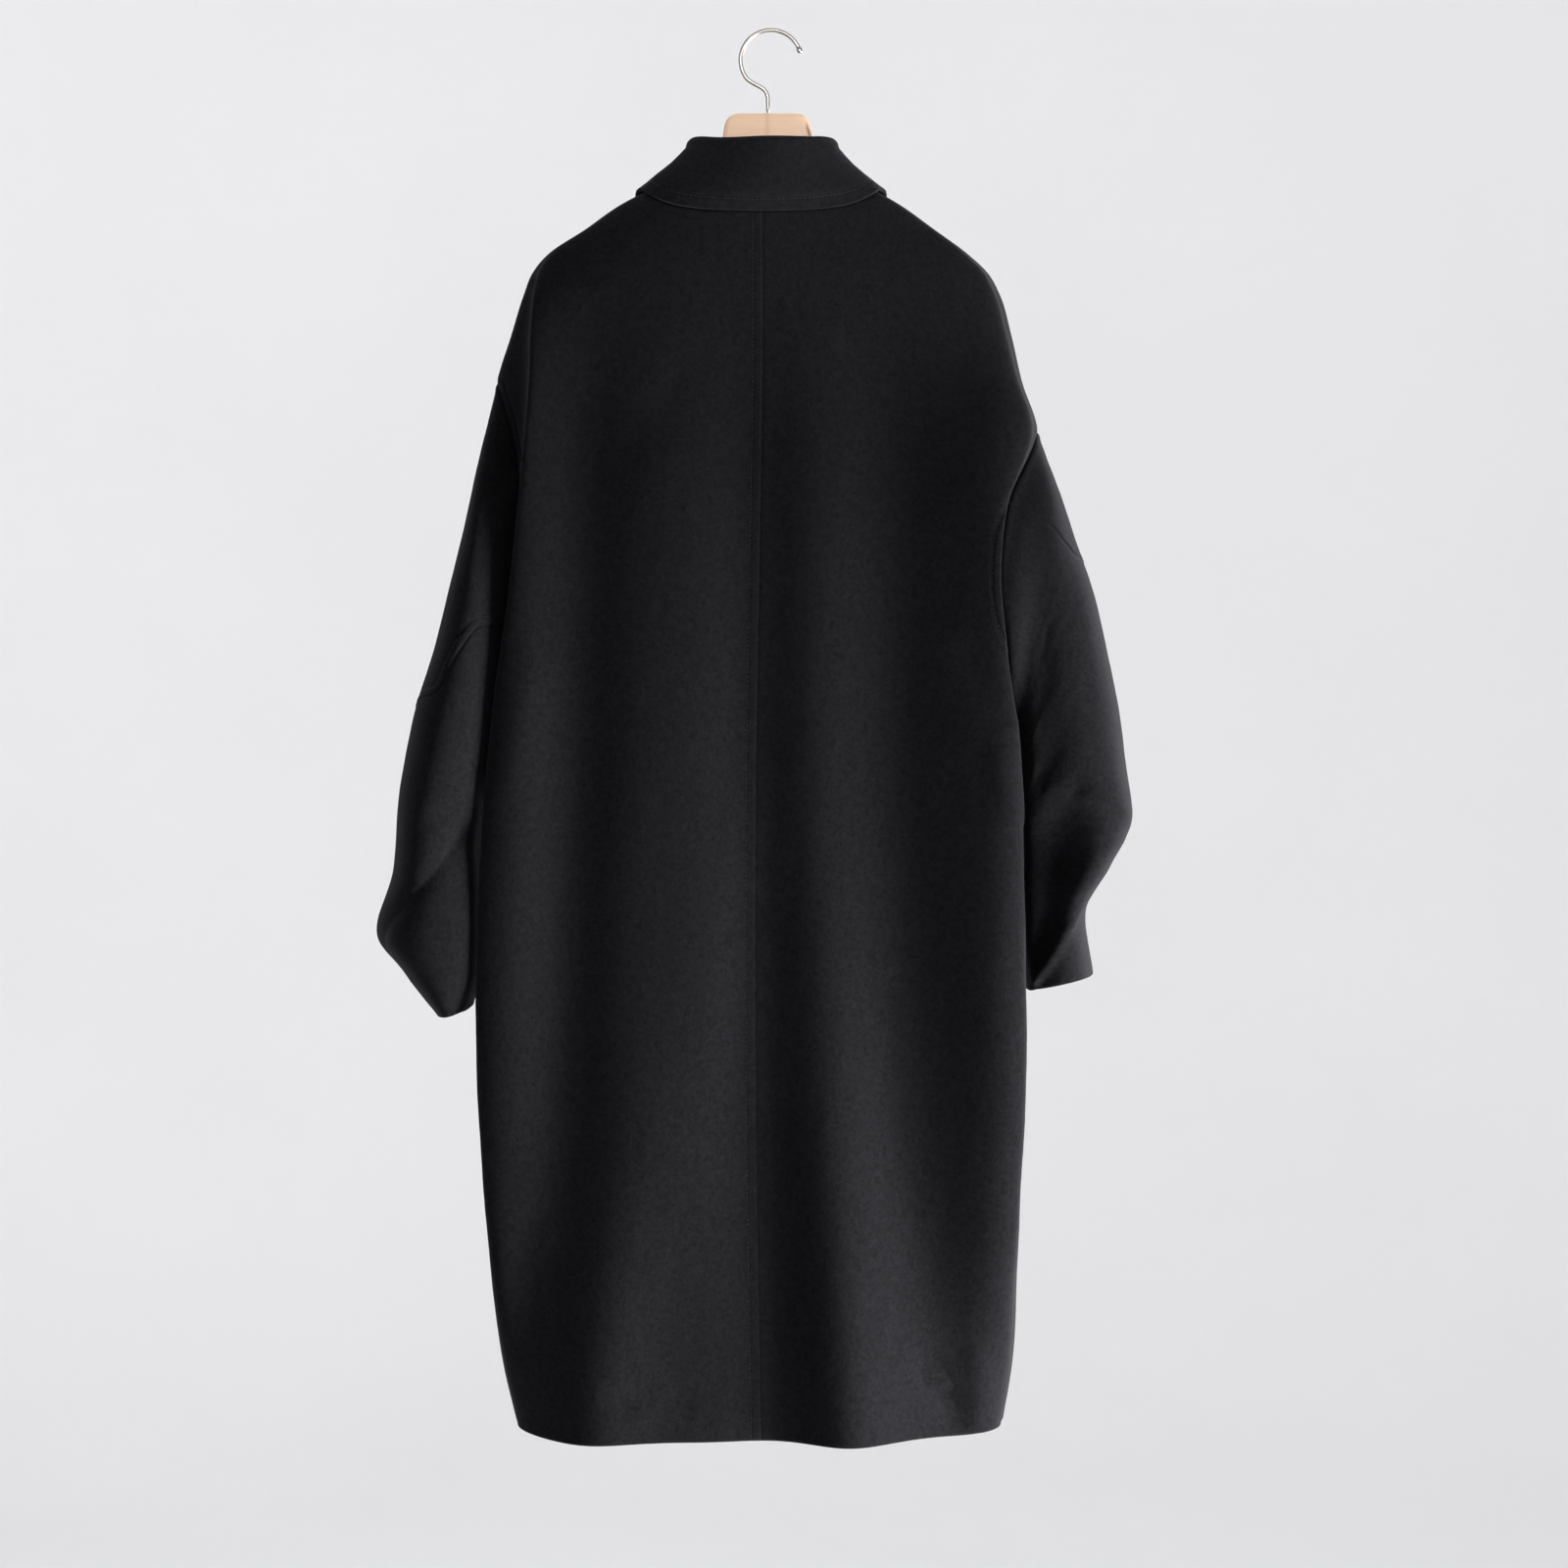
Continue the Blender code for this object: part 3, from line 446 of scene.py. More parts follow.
def creases(rows, a, b):
    # soft troughs and ridges along short lines in a piece's own two sizes; one that starts
    # where the one before it ends goes on with the same fold
    total, ones = np.zeros_like(a), np.ones(len(rows["out"]))
    fold, last = total, None
    for k in range(len(rows["out"])):
        start = np.array([rows["aStart"][k], rows["bStart"][k]])
        end = np.array([rows["aEnd"][k], rows["bEnd"][k]])
        step = end - start
        t = np.clip(((a - start[0]) * step[0] + (b - start[1]) * step[1]) / (step @ step), 0, 1)
        away = np.hypot(a - start[0] - t * step[0], b - start[1] - t * step[1])
        fade = np.clip(4 * t * (1 - t) + rows["hold"][k], 0, 1) ** 0.6
        below = (step[0] * (b - start[1]) - step[1] * (a - start[0])) / (np.hypot(*step) * away + 1e-9)
        width = rows["width"][k] * (1 + (rows.get("beyond", ones)[k] - 1) * (1 + below) / 2)
        part = rows["out"][k] * fade * np.exp(-((away / width) ** rows.get("power", 2 * ones)[k]))
        if last is None or not np.allclose(start, last):
            fold = np.zeros_like(a)
        deeper = np.abs(part) > np.abs(fold)
        total = total + np.where(deeper, part - fold, 0)
        fold, last = np.where(deeper, part, fold), end
    return total


def ripple(x, z, seed):
    # slack in hanging cloth: long waves, cross waves and small ones
    long = np.sin(x / 0.019 + 0.9 * np.sin(z / 0.071 + seed) + seed)
    long *= 0.55 + 0.45 * np.sin(z / 0.052 + 1.7 * seed)
    cross = np.sin(z / 0.0145 + x / 0.041 + 2.3 * seed) * np.sin(x / 0.033 + 0.4 * seed)
    small = np.sin((x + 0.6 * z) / 0.0058 + seed) * np.sin((z - 0.5 * x) / 0.0071 + 1.1 * seed)
    return slack["long"] * long + slack["cross"] * cross + slack["small"] * small


def turnedUp(d):
    # a hem or cuff: how thick the cloth is with its turn-up, and how far its fold rounds away
    thick = cloth["thick"] * (2 - ease((d - cloth["turnUp"]) / cloth["turnUpStep"]))
    return thick, edgeRound(d, cloth["thick"] * cloth["foldRound"])


def deselect():
    if bpy.context.mode != "OBJECT":
        bpy.ops.object.mode_set(mode="OBJECT")
    bpy.ops.object.select_all(action="DESELECT")


def pick(piece):
    deselect()
    piece.select_set(True)
    bpy.context.view_layer.objects.active = piece


def clothWall(name, outer, inner, facing, finish):
    rows, columns = outer.shape[:2]
    deselect()
    bpy.ops.mesh.primitive_grid_add(x_subdivisions=columns - 1, y_subdivisions=rows - 1, size=1)
    piece = bpy.context.object
    piece.name = piece.data.name = name
    count = rows * columns
    place = np.empty(count * 3, np.float32)
    piece.data.vertices.foreach_get("co", place)
    place = place.reshape(-1, 3)
    column = np.rint((place[:, 0] + 0.5) * (columns - 1)).astype(int)
    row = np.rint((place[:, 1] + 0.5) * (rows - 1)).astype(int)
    piece.data.vertices.foreach_set("co", outer[row, column].astype(np.float32).ravel())
    if facing < 0:
        bpy.ops.object.mode_set(mode="EDIT")
        bpy.ops.mesh.select_all(action="SELECT")
        bpy.ops.mesh.flip_normals()
        bpy.ops.object.mode_set(mode="OBJECT")
    wall = piece.modifiers.new("wall", "SOLIDIFY")
    wall.thickness = cloth["thick"]
    wall.offset = -1
    bpy.ops.object.modifier_apply(modifier="wall")
    both = np.concatenate([outer[row, column], inner[row, column]]).astype(np.float32)
    piece.data.vertices.foreach_set("co", both.ravel())
    piece.data.update()
    bpy.ops.object.shade_smooth()
    piece.data.materials.append(finish)
    return piece


thread = {
    "pitch": 0.0040,
    "long": 0.0030,
    "radius": 0.00030,
    "sides": 5,
    "first": 0.004,
    "spare": 0.006,
    # a row counts where it reaches this near the seam, in its first columns
    "seamReach": 0.004,
    "columns": 40,
    # share of a stitch's length, width and lift in radii
    "rings": ((0, 0.45, -0.6), (0.2, 1.0, 0.55), (0.8, 1.0, 0.55), (1, 0.45, -0.6)),
}


def stitchLine(grid, normals, d, inset, rows, fromEnd):
    # where the row of stitches runs: on each grid row, the place this far from the seam
    line, out = [], []
    for r in rows:
        order = slice(None, None, -1) if fromEnd else slice(None)
        away = d[r, order]
        last = int(np.argmax(away > inset))
        if away[0] > thread["seamReach"] or last == 0 or last > thread["columns"]:
            continue
        t = (inset - away[last - 1]) / (away[last] - away[last - 1])
        line.append(grid[r, order][last - 1] * (1 - t) + grid[r, order][last] * t)
        out.append(normals[r, order][last])
    return np.array(line), np.array(out)


def stitches(name, runs, finish):
    # every stitch is a short pinched piece of thread, all joined in one mesh
    points, faces = [], []
    sides, rings = thread["sides"], len(thread["rings"])
    turn = np.arange(sides) * 2 * math.pi / sides
    for line, out in runs:
        run = runOf(line)
        for start in np.arange(thread["first"], run[-1] - thread["spare"], thread["pitch"]):
            ends = spread(line, np.array([start, start + thread["long"]]))
            normal = unit(spread(out, np.interp([start], run, runOf(out)))[0])
            forward = unit(ends[1] - ends[0])
            across = unit(np.cross(forward, normal))
            first = len(points)
            for share, width, lift in thread["rings"]:
                middle = ends[0] + (ends[1] - ends[0]) * share + normal * thread["radius"] * lift
                for a in turn:
                    ring = across * math.cos(a) + normal * math.sin(a)
                    points.append(middle + ring * thread["radius"] * width)
            for k in range(rings - 1):
                for j in range(sides):
                    a, b = first + k * sides + j, first + k * sides + (j + 1) % sides
                    faces.append((a, a + sides, b + sides, b))
            faces.append(tuple(first + j for j in range(sides)))
            faces.append(tuple(first + (rings - 1) * sides + j for j in reversed(range(sides))))
    mesh = bpy.data.meshes.new(name)
    mesh.from_pydata(points, [], faces)
    piece = bpy.data.objects.new(name, mesh)
    bpy.context.scene.collection.objects.link(piece)
    pick(piece)
    bpy.ops.object.mode_set(mode="EDIT")
    bpy.ops.mesh.select_all(action="SELECT")
    bpy.ops.mesh.normals_make_consistent(inside=False)
    bpy.ops.object.mode_set(mode="OBJECT")
    bpy.ops.object.shade_smooth()
    mesh.materials.append(finish)
    return piece


# finishes

def node(tree, kind, x, y, **values):
    made = tree.nodes.new(kind)
    made.location = (x, y)
    for name, value in values.items():
        if name in made.inputs:
            made.inputs[name].default_value = value
        else:
            setattr(made, name, value)
    return made


def fibreGroup():
    # felted nap: fine fibres, millimetre tufts and wide mottles
    group = bpy.data.node_groups.new("fibreNap", "ShaderNodeTree")
    face = group.interface
    face.new_socket("Place", in_out="INPUT", socket_type="NodeSocketVector")
    size = face.new_socket("Tuft Scale", in_out="INPUT", socket_type="NodeSocketFloat")
    size.default_value = 420
    face.new_socket("Tone", in_out="OUTPUT", socket_type="NodeSocketFloat")
    face.new_socket("Height", in_out="OUTPUT", socket_type="NodeSocketFloat")
    link = group.links.new
    start = node(group, "NodeGroupInput", -900, 0)
    end = node(group, "NodeGroupOutput", 700, 0)
    tufts = node(group, "ShaderNodeTexNoise", -500, 200, Detail=4.0, Roughness=0.62)
    stretch = node(group, "ShaderNodeMapping", -700, -100)
    stretch.inputs["Scale"].default_value = (1.0, 1.0, 0.28)
    fibres = node(group, "ShaderNodeTexNoise", -500, -100, Scale=1500.0, Detail=3.0, Distortion=0.5)
    mottles = node(group, "ShaderNodeTexNoise", -500, -400, Scale=230.0, Detail=4.0, Roughness=0.65)
    link(start.outputs["Place"], tufts.inputs["Vector"])
    link(start.outputs["Tuft Scale"], tufts.inputs["Scale"])
    link(start.outputs["Place"], stretch.inputs["Vector"])
    link(stretch.outputs["Vector"], fibres.inputs["Vector"])
    link(start.outputs["Place"], mottles.inputs["Vector"])
    height = node(group, "ShaderNodeMix", -150, 100, data_type="FLOAT")
    height.inputs[0].default_value = 0.45
    link(tufts.outputs["Fac"], height.inputs[2])
    link(fibres.outputs["Fac"], height.inputs[3])
    tone = node(group, "ShaderNodeMix", 150, -150, data_type="FLOAT")
    tone.inputs[0].default_value = 0.50
    link(height.outputs[0], tone.inputs[2])
    link(mottles.outputs["Fac"], tone.inputs[3])
    link(tone.outputs[0], end.inputs["Tone"])
    link(height.outputs[0], end.inputs["Height"])
    return group


def handlingGroup():
    # uneven gloss from handling
    group = bpy.data.node_groups.new("handling", "ShaderNodeTree")
    face = group.interface
    face.new_socket("Place", in_out="INPUT", socket_type="NodeSocketVector")
    for name in ("Scale", "Low", "High"):
        face.new_socket(name, in_out="INPUT", socket_type="NodeSocketFloat")
    face.new_socket("Roughness", in_out="OUTPUT", socket_type="NodeSocketFloat")
    start = node(group, "NodeGroupInput", -600, 0)
    end = node(group, "NodeGroupOutput", 400, 0)
    smudge = node(group, "ShaderNodeTexNoise", -300, 0, Detail=5.0, Roughness=0.65)
    span = node(group, "ShaderNodeMapRange", 100, 0)
    span.inputs["From Min"].default_value = 0.3
    span.inputs["From Max"].default_value = 0.7
    group.links.new(start.outputs["Place"], smudge.inputs["Vector"])
    group.links.new(start.outputs["Scale"], smudge.inputs["Scale"])
    group.links.new(smudge.outputs["Fac"], span.inputs["Value"])
    group.links.new(start.outputs["Low"], span.inputs["To Min"])
    group.links.new(start.outputs["High"], span.inputs["To Max"])
    group.links.new(span.outputs["Result"], end.inputs["Roughness"])
    return group


fibreNap = fibreGroup()
handling = handlingGroup()


def newFinish(name):
    made = bpy.data.materials.new(name)
    made.use_nodes = True
    tree = made.node_tree
    shader = tree.nodes["Principled BSDF"]
    place = node(tree, "ShaderNodeTexCoord", -1200, 0)
    return made, tree, shader, place.outputs["Object"]


def ramp(tree, x, y, *stops):
    made = node(tree, "ShaderNodeValToRGB", x, y)
    band = made.color_ramp
    while len(band.elements) < len(stops):
        band.elements.new(0.5)
    for element, (spot, colour) in zip(band.elements, stops):
        element.position = spot
        element.color = (*colour, 1)
    return made


def napped(tree, shader, place, tufts, *stops):
    # fibres coloured between the stops
    nap = node(tree, "ShaderNodeGroup", -900, 0, node_tree=fibreNap)
    nap.inputs["Tuft Scale"].default_value = tufts
    tree.links.new(place, nap.inputs["Place"])
    tone = ramp(tree, -600, 200, *stops)
    tree.links.new(nap.outputs["Tone"], tone.inputs["Fac"])
    tree.links.new(tone.outputs["Color"], shader.inputs["Base Color"])
    return nap


def handled(tree, shader, place, scale, low, high):
    gloss = node(tree, "ShaderNodeGroup", -500, -250, node_tree=handling, Scale=scale, Low=low, High=high)
    tree.links.new(place, gloss.inputs["Place"])
    tree.links.new(gloss.outputs["Roughness"], shader.inputs["Roughness"])


def clouded(tree, shader, place, noise, *stops):
    # a noise coloured between the stops
    clouds = node(tree, "ShaderNodeTexNoise", -700, 200, **noise)
    tree.links.new(place, clouds.inputs["Vector"])
    tone = ramp(tree, -450, 200, *stops)
    tree.links.new(clouds.outputs["Fac"], tone.inputs["Fac"])
    tree.links.new(tone.outputs["Color"], shader.inputs["Base Color"])


def woolFinish():
    look = {
        "tufts": 420,
        "dark": (0.37, (0.0034, 0.0033, 0.0039)),
        "light": (0.64, (0.0118, 0.0115, 0.0136)),
        "sheen": 0.06,
        "sheenTint": (0.80, 0.79, 0.95, 1),
        "nap": 0.42,
    }
    made, tree, shader, place = newFinish("blackWool")
    nap = napped(tree, shader, place, look["tufts"], look["dark"], look["light"])
    bump = node(tree, "ShaderNodeBump", -300, -200, Strength=look["nap"], Distance=0.0012)
    tree.links.new(nap.outputs["Height"], bump.inputs["Height"])
    tree.links.new(bump.outputs["Normal"], shader.inputs["Normal"])
    shader.inputs["Roughness"].default_value = 0.92
    shader.inputs["Specular IOR Level"].default_value = 0.08
    shader.inputs["Sheen Weight"].default_value = look["sheen"]
    shader.inputs["Sheen Roughness"].default_value = 0.45
    shader.inputs["Sheen Tint"].default_value = look["sheenTint"]
    return made


def threadFinish():
    look = {"tufts": 1400, "dark": (0.3, (0.004, 0.004, 0.005)), "light": (0.7, (0.016, 0.016, 0.018))}
    made, tree, shader, place = newFinish("blackThread")
    napped(tree, shader, place, look["tufts"], look["dark"], look["light"])
    shader.inputs["Roughness"].default_value = 0.6
    shader.inputs["Specular IOR Level"].default_value = 0.3
    return made


def beechFinish():
    look = {"pale": (0.92, 0.63, 0.42), "grain": (0.86, 0.55, 0.355), "fleck": (0.68, 0.41, 0.26)}
    made, tree, shader, place = newFinish("paleBeech")
    link = tree.links.new
    # the two halves meet on the middle line, each with its own grain
    split = node(tree, "ShaderNodeSeparateXYZ", -1000, -250)
    link(place, split.inputs["Vector"])
    half = node(tree, "ShaderNodeMath", -820, -350, operation="GREATER_THAN")
    half.inputs[1].default_value = 0.0
    link(split.outputs["X"], half.inputs[0])
    shift = node(tree, "ShaderNodeCombineXYZ", -640, -350)
    link(half.outputs[0], shift.inputs["Z"])
    moved = node(tree, "ShaderNodeVectorMath", -460, -200, operation="ADD")
    link(place, moved.inputs[0])
    link(shift.outputs["Vector"], moved.inputs[1])
    stretch = node(tree, "ShaderNodeMapping", -280, -200)
    stretch.inputs["Scale"].default_value = (9, 70, 70)
    link(moved.outputs["Vector"], stretch.inputs["Vector"])
    grain = node(tree, "ShaderNodeTexNoise", -60, 0, Scale=2.4, Detail=6.0, Roughness=0.6, Distortion=0.8)
    link(stretch.outputs["Vector"], grain.inputs["Vector"])
    flecks = node(tree, "ShaderNodeMapping", -280, -500)
    flecks.inputs["Scale"].default_value = (160, 900, 900)
    link(moved.outputs["Vector"], flecks.inputs["Vector"])
    rays = node(tree, "ShaderNodeTexVoronoi", -60, -400, Scale=1.0)
    link(flecks.outputs["Vector"], rays.inputs["Vector"])
    body = ramp(tree, 160, 100, (0.25, look["grain"]), (0.62, look["pale"]))
    link(grain.outputs["Fac"], body.inputs["Fac"])
    marks = ramp(tree, 160, -300, (0.02, (0.55, 0.55, 0.55)), (0.16, (0, 0, 0)))
    link(rays.outputs["Distance"], marks.inputs["Fac"])
    speck = node(tree, "ShaderNodeMix", 420, 50, data_type="RGBA")
    link(marks.outputs["Color"], speck.inputs[0])
    link(body.outputs["Color"], speck.inputs[6])
    speck.inputs[7].default_value = (*look["fleck"], 1)
    near = node(tree, "ShaderNodeMath", -820, -600, operation="ABSOLUTE")
    link(split.outputs["X"], near.inputs[0])
    glue = ramp(tree, 160, -600, (0.0, (0.45, 0.45, 0.45)), (0.0007, (0, 0, 0)))
    link(near.outputs[0], glue.inputs["Fac"])
    joint = node(tree, "ShaderNodeMix", 620, 50, data_type="RGBA")
    link(glue.outputs["Color"], joint.inputs[0])
    link(speck.outputs[2], joint.inputs[6])
    joint.inputs[7].default_value = (*look["fleck"], 1)
    link(joint.outputs[2], shader.inputs["Base Color"])
    handled(tree, shader, place, 40, 0.42, 0.58)
    bump = node(tree, "ShaderNodeBump", 620, -500, Strength=0.12, Distance=0.0004)
    link(grain.outputs["Fac"], bump.inputs["Height"])
    link(bump.outputs["Normal"], shader.inputs["Normal"])
    return made


def nickelFinish():
    look = {
        "noise": {"Scale": 180.0, "Detail": 4.0},
        "dull": (0.3, (0.40, 0.37, 0.34)),
        "bright": (0.7, (0.50, 0.47, 0.44)),
    }
    made, tree, shader, place = newFinish("satinNickel")
    clouded(tree, shader, place, look["noise"], look["dull"], look["bright"])
    handled(tree, shader, place, 260, 0.26, 0.40)
    shader.inputs["Metallic"].default_value = 1.0
    return made


def hornFinish():
    look = {
        "noise": {"Scale": 120.0, "Detail": 5.0, "Distortion": 2.4},
        "dark": (0.35, (0.006, 0.005, 0.005)),
        "brown": (0.62, (0.020, 0.015, 0.012)),
        "streak": (0.8, (0.05, 0.034, 0.024)),
    }
    made, tree, shader, place = newFinish("darkHorn")
    clouded(tree, shader, place, look["noise"], look["dark"], look["brown"], look["streak"])
    handled(tree, shader, place, 300, 0.24, 0.42)
    return made


blackWool = woolFinish()
blackThread = threadFinish()
paleBeech = beechFinish()
satinNickel = nickelFinish()
darkHorn = hornFinish()
print("finishes made")


def dress(piece, nodeName):
    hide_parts(nodeName)
    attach(piece, "root")


def threads(name, runs):
    piece = stitches(name, runs, blackThread)
    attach(piece, "root")
    return piece


# body panels

creaseColumns = "aStart bStart aEnd bEnd out width hold"

bodyLook = {
    "backCreases": table(
        creaseColumns,  # x and z of both ends
        (-0.150, -1.236, -0.062, -1.244, -0.0022, 0.012, 0.0),
        (-0.120, -1.262, -0.085, -1.226, 0.0016, 0.010, 0.0),
        (0.142, -1.205, 0.176, -1.272, -0.0050, 0.013, 0.2),
        (0.186, -1.190, 0.196, -1.262, 0.0030, 0.012, 0.1),
        (-0.214, -1.080, -0.226, -1.265, -0.0030, 0.016, 0.2),
        (0.205, -0.655, 0.226, -0.730, 0.0030, 0.014, 0.0),
        (0.175, -0.560, 0.215, -0.640, -0.0022, 0.016, 0.0),
        (-0.205, -0.560, -0.232, -0.700, 0.0020, 0.016, 0.0),
        (-0.060, -0.300, -0.150, -0.420, -0.0014, 0.022, 0.0),
        (0.070, -0.290, 0.170, -0.430, -0.0016, 0.024, 0.0),
        (-0.030, -0.690, -0.050, -0.960, 0.0012, 0.018, 0.0),
        (0.100, -0.860, 0.120, -1.080, -0.0014, 0.016, 0.0),
    ),
    "frontCreases": table(
        creaseColumns,
        (0.160, -0.500, 0.196, -0.640, -0.0026, 0.016, 0.0),
        (-0.170, -0.500, -0.205, -0.640, -0.0026, 0.016, 0.0),
        (0.120, -0.420, 0.190, -0.560, 0.0018, 0.018, 0.0),
        (-0.120, -0.400, -0.195, -0.540, 0.0018, 0.018, 0.0),
        (0.012, -0.335, 0.085, -0.372, -0.0012, 0.010, 0.0),
        (0.012, -0.475, 0.075, -0.505, -0.0011, 0.010, 0.0),
        (0.012, -0.615, 0.070, -0.642, -0.0011, 0.010, 0.0),
        (0.012, -0.755, 0.080, -0.800, -0.0013, 0.011, 0.0),
        (0.130, -1.190, 0.160, -1.270, -0.0040, 0.013, 0.2),
        (-0.140, -1.200, -0.120, -1.268, -0.0034, 0.013, 0.2),
        (-0.060, -1.225, -0.110, -1.236, 0.0018, 0.011, 0.0),
    ),
    # how far from the edges creases, slack, armhole welt and armhole stitches begin
    "creaseSide": 0.012,
    "slackSide": 0.020,
    "slackNeck": 0.05,
    "weltUnderarm": 0.030,
    "weltShoulder": 0.012,
    "stitchUnderarm": 0.015,
    "stitchShoulder": 0.001,
    "middleDip": 0.5,
    "middleStitched": "back_left",
    "middleWelt": {"inset": 0.0089, "rise": 0.0002, "dip": 0.0002},
    # flat cut of each panel: width, length, area
    "flat": {
        "back_left": (0.372, 1.146, 0.345),
        "back_right": (0.356, 1.146, 0.332),
        "front_left": (0.372, 1.146, 0.336),
        "front_right": (0.366, 1.146, 0.331),
    },
}


def armholePoint(side, angle):
    # 0 is the shoulder, 90 the back, 180 the underarm
    angle = angle % 360
    share = (1 + math.cos(math.radians(angle))) / 2
    level = side["underarm"] + (side["shoulder"] - side["underarm"]) * share
    return section(side, back if angle <= 180 else front, level)[-1]


def armholeCentre(side):
    return np.mean([armholePoint(side, angle) for angle in range(0, 360, 10)], axis=0)


def bodyPanel(name, side, face, facing):
    look = bodyLook
    grid = bodyGrid(side, face)
    normals = outwardNormals(grid, facing)
    levels = bodyLevels(side)
    dMiddle, sMiddle = nearness(grid, grid[:, 0])
    dSide, sSide = nearness(grid, grid[:, -1])
    dHem, _ = nearness(grid, grid[0])
    x, z = grid[..., 0], grid[..., 2]
    height = creases(look[face["name"] + "Creases"], x, z) * ease(dSide / look["creaseSide"])
    calm = ease(dSide / look["slackSide"]) * ease((cut["neckSide"] - z) / look["slackNeck"])
    height += ripple(x, z, face["slack"]) * calm
    low, high = levels - side["underarm"], side["shoulder"] - levels
    armhole = (low > look["stitchUnderarm"]) & (high > look["stitchShoulder"])
    welted = ease(low / look["weltUnderarm"]) * ease(1 + high / look["weltShoulder"])
    height += topstitched(dSide, sSide, rise=side["welt"] * cloth["weltRise"]) * welted[:, None]
    stitched = name == look["middleStitched"]
    thick, rolled = turnedUp(dHem)
    depth = thick - rolled
    if face is back:
        height += look["middleDip"] * seamDip(dMiddle)
    else:
        opening = edgeRound(dMiddle, cloth["thick"] * cloth["edgeRound"])
        height += topstitched(dMiddle, sMiddle) - opening
        depth -= opening
    if stitched:
        height += topstitched(dMiddle, sMiddle, **look["middleWelt"])
    height -= rolled
    # an armhole's dip points into the armhole, so that both of its edges go the same way
    weight = welted[:, None, None]
    inward = unit(armholeCentre(side) - grid[:, -1])[:, None] * weight - normals * (1 - weight)
    outer = grid + normals * height[..., None] - inward * side["welt"] * seamDip(dSide)[..., None]
    inner = grid - normals * np.maximum(depth, cloth["thinnest"])[..., None]
    if face is back:
        inner[:, :4] -= normals[:, :4] * cloth["allowance"]
        inner[armhole, -4:] -= normals[armhole, -4:] * cloth["allowance"]
    piece = clothWall(name + "_cloth", outer, inner, facing, blackWool)
    dress(piece, name)
    runs = []
    if stitched:
        inset = look["middleWelt"]["inset"]
        runs.append(stitchLine(outer, normals, dMiddle, inset, range(1, len(levels)), False))
    if face is front and side is right:
        runs.append(stitchLine(outer, normals, dMiddle, cloth["stitchInset"], range(1, len(levels)), False))
    runs.append(stitchLine(outer, normals, dSide, cloth["stitchInset"], np.flatnonzero(armhole), True))
    made = threads(name + "_stitches", runs)
    print(name, "panel,", len(piece.data.polygons), "faces")


bodyPanel("back_left", left, back, -1)
bodyPanel("back_right", right, back, 1)
bodyPanel("front_left", left, front, 1)
bodyPanel("front_right", right, front, -1)


# sleeves: one piece wound round the arm, closed by a slanting seam

sleeveLook = {
    "length": 0.55,
    "edgeLength": 0.5,
    "radius": 0.068,
    "rows": 96,
    "across": 92,
    "degree": 0.00125,
    "creaseStart": 0.03,
    "slackStart": 0.02,
    "slack": 1.3,
    # height, width and place of the raised cloth beside the right seam and the armholes
    "seamRaise": (0.0007, 0.007),
    "armholeRaise": (0.0006, 0.0035, 0.004),
    # share of the length and angle of both ends; a power of 1 makes a sharp fold
    "left": table(
        creaseColumns + " beyond power",
        (0.55, 138, 0.79, 30, -0.0110, 0.034, 1.0, 1.0, 1.0),
        (0.50, 115, 0.62, 60, -0.0014, 0.012, 0.0, 1.0, 2.0),
        (0.34, 120, 0.50, 60, 0.0012, 0.018, 0.0, 1.0, 2.0),
        (0.72, -20, 0.80, -75, -0.0045, 0.014, 0.1, 1.0, 2.0),
        (0.62, -35, 0.70, -95, -0.0030, 0.014, 0.0, 1.0, 2.0),
        (0.50, -60, 0.62, -130, 0.0030, 0.016, 0.0, 1.0, 2.0),
        (0.20, 150, 0.42, 172, -0.0030, 0.016, 0.0, 1.0, 2.0),
        (0.22, -140, 0.46, -168, -0.0030, 0.016, 0.0, 1.0, 2.0),
        (0.84, -60, 0.93, -110, 0.0030, 0.014, 0.0, 1.0, 2.0),
    ),
    "right": table(
        creaseColumns + " beyond power",
        (0.44, 124, 0.55, 86, 0.0030, 0.010, 0.0, 3.0, 1.3),
        (0.55, 86, 0.66, 30, 0.0050, 0.009, 0.6, 3.2, 1.0),
        (0.60, 116, 0.88, 112, -0.0115, 0.046, 0.8, 1.0, 2.0),
        (0.70, 18, 0.85, 34, 0.0065, 0.040, 0.5, 0.35, 1.8),
        (0.85, 34, 0.885, 62, 0.0065, 0.030, 1.0, 0.35, 1.8),
        (0.885, 62, 0.97, 140, 0.0065, 0.022, 1.0, 0.40, 1.8),
        (0.05, 78, 0.05, 120, 0.0035, 0.020, 0.3, 1.0, 2.0),
        (0.16, 84, 0.26, 116, -0.0028, 0.026, 0.3, 1.0, 2.0),
        (0.24, 125, 0.36, 132, 0.0030, 0.015, 0.6, 1.0, 2.0),
        (0.70, -20, 0.76, -80, -0.0045, 0.014, 0.1, 1.0, 2.0),
        (0.60, -40, 0.66, -100, -0.0030, 0.014, 0.0, 1.0, 2.0),
        (0.48, -60, 0.60, -130, 0.0030, 0.016, 0.0, 1.0, 2.0),
        (0.22, -140, 0.46, -168, -0.0030, 0.016, 0.0, 1.0, 2.0),
        (0.84, -60, 0.93, -110, 0.0030, 0.014, 0.0, 1.0, 2.0),
    ),
    "flat": {"sleeve_left": (0.47, 0.60, 0.172), "sleeve_right": (0.46, 0.56, 0.158)},
}


